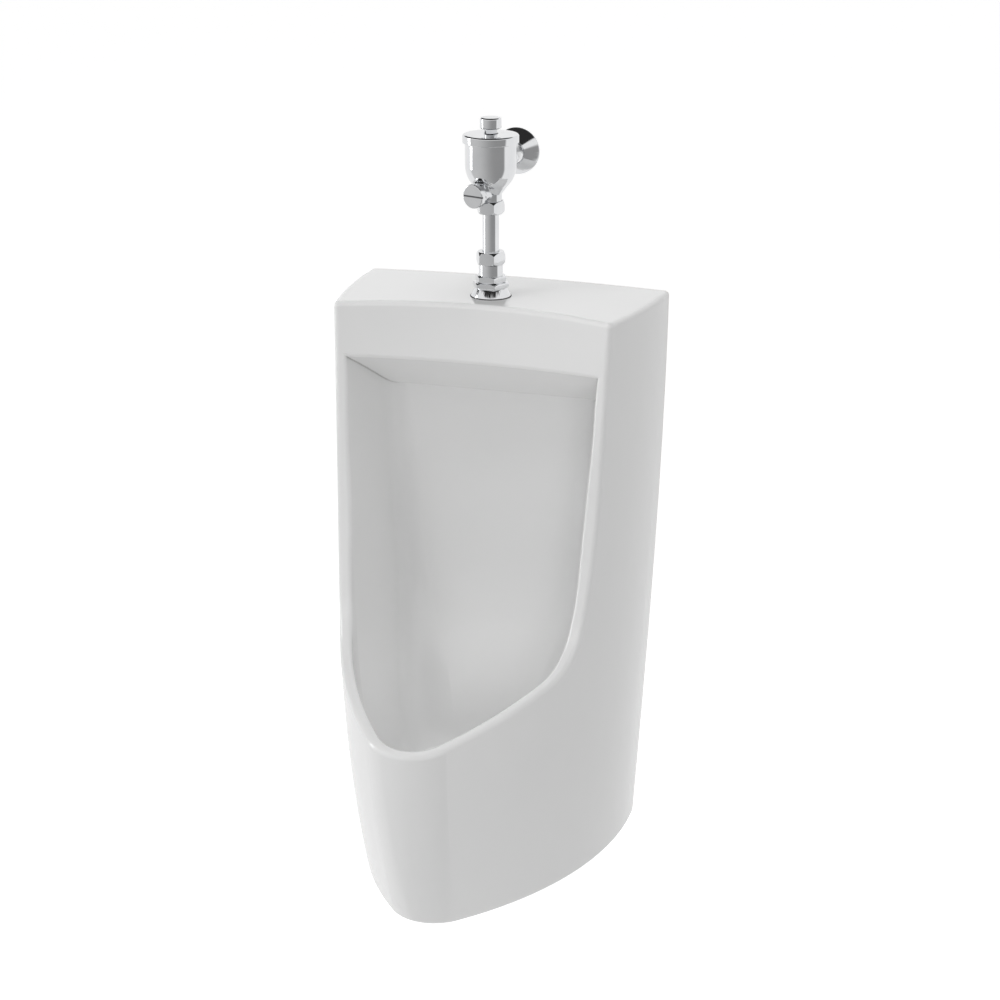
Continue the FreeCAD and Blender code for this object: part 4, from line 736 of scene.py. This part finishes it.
def threaded_nipple():
    skin = merged_copy("inlet_nipple")
    bmesh.ops.bisect_plane(
        skin, geom=whole(skin), plane_co=(0.0, CUT_Y, 0.0), plane_no=(0.0, 1.0, 0.0), clear_outer=True
    )
    lying = Matrix.Rotation(math.radians(-90), 4, "X")
    to_wall = Matrix.Translation((0.0, CORE_START_Y, INLET_HEIGHT)) @ lying
    thread = helix(NIPPLE_END - BARE_TIP, NIPPLE_CORE - ROOT_SINK, NIPPLE_CREST, HALF_INCH_PITCH)
    join(skin, nipple_core(), to_wall)
    join(skin, thread, to_wall)
    return stand_in(skin, "threaded_nipple", "inlet_nipple")


print(threaded_nipple().name, "ready")

# %% [markdown]
# The waste's tail is threaded for its back nut. Between that nut and the trap the thread is bare, and
# a look from below shows it, so a shallow ridge is added there.

# %% The waste's thread
DRAIN = Vector((0.0, -0.206, 0.0))
WASTE_RADIUS = 22.5
WASTE_RIDGE = 0.28
WASTE_PITCH = 2.309
WASTE_THREAD_LOW = -0.4515
WASTE_THREAD_LENGTH = 13.0


def waste_thread():
    skin = helix(WASTE_THREAD_LENGTH, WASTE_RADIUS - ROOT_SINK, WASTE_RADIUS + WASTE_RIDGE, WASTE_PITCH)
    bmesh.ops.translate(skin, vec=DRAIN + Vector((0.0, 0.0, WASTE_THREAD_LOW)), verts=skin.verts)
    return new_piece(skin, "waste_thread", "waste_body")


print(waste_thread().name, "ready")

# %% [markdown]
# ## Painted shadow at the foot of the cover
# A thin black rubber ring sits in the gap under the rim of the cone cover on the deck. It stands for
# the shadow in that gap: painted shade, which shows as a thin dark line all round.

# %% The cover's foot
SPUD = Vector((0.0, VALVE_Y, 0.060))
COVER_RADIUS = 20.5
RING_INNER = COVER_RADIUS + 0.02
RING_SHOULDER = COVER_RADIUS + 0.3
RING_OUTER = COVER_RADIUS + 0.6
RING_LOW = -0.4
RING_SLOPE = 0.3
RING_TOP = 0.8


def shadow_ring():
    # Painted shade: a dark ring where the shadow under the cover's rim falls.
    profile = [
        (RING_INNER, RING_LOW),
        (RING_OUTER, RING_LOW),
        (RING_OUTER, RING_SLOPE),
        (RING_SHOULDER, RING_TOP),
        (RING_INNER, RING_TOP),
    ]
    skin = turned(profile, TURN_STEPS * 2, closed=True)
    bmesh.ops.translate(skin, vec=SPUD, verts=skin.verts)
    return new_piece(skin, "shadow_ring", "spud_gasket")


print(shadow_ring().name, "ready")

# %% [markdown]
# ## Grip on the trap's cup
# A trap's cup is unscrewed by hand, with wet fingers, so it is moulded with ribs. One rib is a short
# bar with rounded ends. A spin that leaves copies behind sets twenty of them round the cup.

# %% The cup's ribs
RIB_COUNT = 20
RIB_RADIUS = 1.5
RIB_LENGTH = 12.0
RIB_SIDES = 16
RIB_ROUNDING = 1.0
RIB_SINK = 0.5
RIB_WELD = 0.01
CUP_RADIUS = 32.0
CUP_MIDDLE = -0.5185
LEVEL = 1e-6


def cup_ribs():
    skin = bmesh.new()
    bmesh.ops.create_cone(
        skin, cap_ends=True, segments=RIB_SIDES, radius1=RIB_RADIUS, radius2=RIB_RADIUS, depth=RIB_LENGTH
    )
    ends = [edge for edge in skin.edges if abs(edge.verts[0].co.z - edge.verts[1].co.z) < LEVEL]
    bmesh.ops.bevel(
        skin, geom=ends, offset=RIB_ROUNDING, segments=4, profile=0.5, affect="EDGES", material=-1,
        clamp_overlap=True,
    )
    bmesh.ops.translate(skin, vec=(CUP_RADIUS - RIB_SINK, 0.0, 0.0), verts=skin.verts)
    bmesh.ops.spin(
        skin, geom=whole(skin), cent=CENTRE, axis=UP, angle=math.tau, steps=RIB_COUNT,
        use_duplicate=True, use_merge=False,
    )
    bmesh.ops.remove_doubles(skin, verts=skin.verts, dist=RIB_WELD)
    to_metres(skin)
    bmesh.ops.translate(skin, vec=DRAIN + Vector((0.0, 0.0, CUP_MIDDLE)), verts=skin.verts)
    return new_piece(skin, "cup_ribs", "trap_cup")


print(cup_ribs().name, "ready")

# %% [markdown]
# ## Camera
# The view was found by fitting a pinhole camera to edges of the casting and the valve: a 90 mm lens,
# 18 degrees round to the right and 18 degrees down.

# %% Camera
LENS = 90.0
SENSOR = 36.0
CAMERA_PLACE = (0.7853, -2.4467, 0.6694)
CAMERA_DOWN = 18.45
CAMERA_ROUND = 18.2


def make_camera():
    data = bpy.data.cameras.new("camera")
    data.lens = LENS
    data.sensor_width = SENSOR
    camera = linked("camera", data)
    camera.location = CAMERA_PLACE
    camera.rotation_euler = (math.radians(90 - CAMERA_DOWN), 0.0, math.radians(CAMERA_ROUND))
    bpy.context.scene.camera = camera
    return camera


print("camera:", make_camera().location)

# %% [markdown]
# ## Lamps
# White ware shows its form only through small steps of grey, so the light has to come from somewhere.
# A tall strip on the left models the nose and the lip, a lamp high on the left reaches into the
# bowl, a wide one overhead brightens the deck, and two in front fill the recess. All but the strip are
# left out of mirrors, where they would be plain white squares.

# %% Lamps
LAMP_TARGET = Vector((0.0, -0.15, -0.2))


def soft_lamp(name, place, size, power, in_mirrors=False):
    data = bpy.data.lights.new(name, "AREA")
    data.shape = "RECTANGLE"
    data.size, data.size_y = size
    data.energy = power
    lamp = linked(name, data)
    lamp.location = place
    aim = LAMP_TARGET - Vector(place)
    lamp.rotation_euler = aim.to_track_quat("-Z", "Y").to_euler()
    lamp.visible_glossy = in_mirrors
    print(name, power, "W")


soft_lamp("left_lamp", place=(-2.6, -0.6, 0.3), size=(0.5, 1.8), power=11.5, in_mirrors=True)
soft_lamp("high_lamp", place=(-1.2, -1.4, 2.4), size=(0.8, 0.8), power=13.0)
soft_lamp("front_lamp", place=(-0.5, -2.5, -0.2), size=(1.0, 1.0), power=4.0)
soft_lamp("recess_lamp", place=(1.1, -2.5, 0.3), size=(1.0, 1.0), power=8.5)
soft_lamp("top_lamp", place=(0.1, -0.1, 2.4), size=(1.6, 1.6), power=17.0)

# %% [markdown]
# ## Floor
# The floor is a pale plane below the object. To the camera it glows a little as well, which lifts it
# to white where it is lit and leaves the object's shadow on it. Mirrors look straight through it
# to the studio below the horizon.

# %% Material: pale floor
WHITE = (1.0, 1.0, 1.0, 1.0)
FLOOR_COLOUR = (0.9, 0.9, 0.9, 1.0)
FLOOR_LIFT = 0.68


def floor_paint():
    material, tree, shader = new_material("pale_floor")
    shader.inputs["Base Color"].default_value = FLOOR_COLOUR
    shader.inputs["Roughness"].default_value = 0.9
    shader.inputs["Emission Color"].default_value = WHITE
    path = add_node(tree, "ShaderNodeLightPath")
    lift = add_node(tree, "ShaderNodeMath", {1: FLOOR_LIFT}, operation="MULTIPLY")
    tree.links.new(path.outputs["Is Camera Ray"], lift.inputs[0])
    tree.links.new(lift.outputs["Value"], shader.inputs["Emission Strength"])
    clear = add_node(tree, "ShaderNodeBsdfTransparent")
    split = add_node(tree, "ShaderNodeMixShader")
    tree.links.new(path.outputs["Is Glossy Ray"], split.inputs["Fac"])
    tree.links.new(shader.outputs["BSDF"], split.inputs[1])
    tree.links.new(clear.outputs["BSDF"], split.inputs[2])
    tree.links.new(split.outputs["Shader"], tree.nodes["Material Output"].inputs["Surface"])
    return material


PALE_PAINT = floor_paint()
print("material:", PALE_PAINT.name)

# %% Floor
FLOOR_DROP = 0.45
FLOOR_REACH = 12.0


def pale_floor():
    skin = bmesh.new()
    bmesh.ops.create_grid(skin, x_segments=2, y_segments=2, size=FLOOR_REACH)
    bmesh.ops.translate(skin, vec=(0.0, 0.0, CAD_BOX[0][2] - FLOOR_DROP), verts=skin.verts)
    mesh = bpy.data.meshes.new("floor")
    skin.to_mesh(mesh)
    skin.free()
    mesh.materials.append(PALE_PAINT)
    floor = linked("floor", mesh)
    return floor


print(pale_floor().name, "ready")

# %% [markdown]
# ## What the plating sees
# A mirror has no look of its own: it shows the room. In a product studio the wall behind the object
# and both side screens are white, the side of the camera is a dim room under a bright screen, and
# straight above is a dark ceiling. So the world has three answers. The camera sees white, mirrors
# see the studio by direction, and everything else gets one even level of light.

# %% Group: the studio by direction
def make_studio():
    levels = {"Left Room": 0.62, "Right Room": 0.32, "Ceiling": 0.03, "Screens": 0.95}
    tree, start, end = new_group("Studio", levels, ["Level"])
    place = add_node(tree, "ShaderNodeTexCoord")
    axes = add_node(tree, "ShaderNodeSeparateXYZ")
    tree.links.new(place.outputs["Generated"], axes.inputs["Vector"])

    def ramp(axis, low, high):
        """From 0 to 1 as one part of the direction goes from low to high."""
        made = add_node(tree, "ShaderNodeMapRange", {"From Min": low, "From Max": high})
        made.interpolation_type = "SMOOTHSTEP"
        tree.links.new(axes.outputs[axis], made.inputs["Value"])
        return made.outputs["Result"]

    def both(first, second, operation):
        made = add_node(tree, "ShaderNodeMath", operation=operation)
        tree.links.new(first, made.inputs[0])
        tree.links.new(second, made.inputs[1])
        return made.outputs["Value"]

    def blend(factor, low, high):
        made = add_node(tree, "ShaderNodeMix")
        tree.links.new(factor, made.inputs["Factor"])
        tree.links.new(low, made.inputs["A"])
        tree.links.new(high, made.inputs["B"])
        return made.outputs["Result"]

    room = blend(ramp("X", low=-0.9, high=0.7), start.outputs["Left Room"], start.outputs["Right Room"])
    dim = both(ramp("Y", low=-0.04, high=-0.22), ramp("Z", low=0.32, high=0.14), "MULTIPLY")
    walls = blend(dim, start.outputs["Screens"], room)
    corner = both(ramp("X", low=-0.3, high=-0.45), ramp("Y", low=-0.25, high=-0.12), "MULTIPLY")
    gap = both(corner, ramp("Z", low=0.3, high=0.42), "MULTIPLY")
    dark = both(gap, ramp("Z", low=0.58, high=0.66), "MAXIMUM")
    tree.links.new(blend(dark, walls, start.outputs["Ceiling"]), end.inputs["Level"])
    return tree


STUDIO = make_studio()
print("group:", STUDIO.name)


# %% World
EVEN_LEVEL = 0.345


def pale_world():
    world = bpy.data.worlds.new("studio")
    world.use_nodes = True
    tree = world.node_tree
    back = tree.nodes["Background"]
    back.inputs["Color"].default_value = WHITE
    path = add_node(tree, "ShaderNodeLightPath")
    studio = use_group(tree, STUDIO)
    for_mirrors = add_node(tree, "ShaderNodeMix")
    for_mirrors.inputs["A"].default_value = EVEN_LEVEL
    for_camera = add_node(tree, "ShaderNodeMix")
    for_camera.inputs["B"].default_value = 1.0
    tree.links.new(path.outputs["Is Glossy Ray"], for_mirrors.inputs["Factor"])
    tree.links.new(studio.outputs["Level"], for_mirrors.inputs["B"])
    tree.links.new(path.outputs["Is Camera Ray"], for_camera.inputs["Factor"])
    tree.links.new(for_mirrors.outputs["Result"], for_camera.inputs["A"])
    tree.links.new(for_camera.outputs["Result"], back.inputs["Strength"])
    return world


bpy.context.scene.world = pale_world()
bpy.context.scene.view_settings.view_transform = "Standard"
print("world:", bpy.context.scene.world.name)
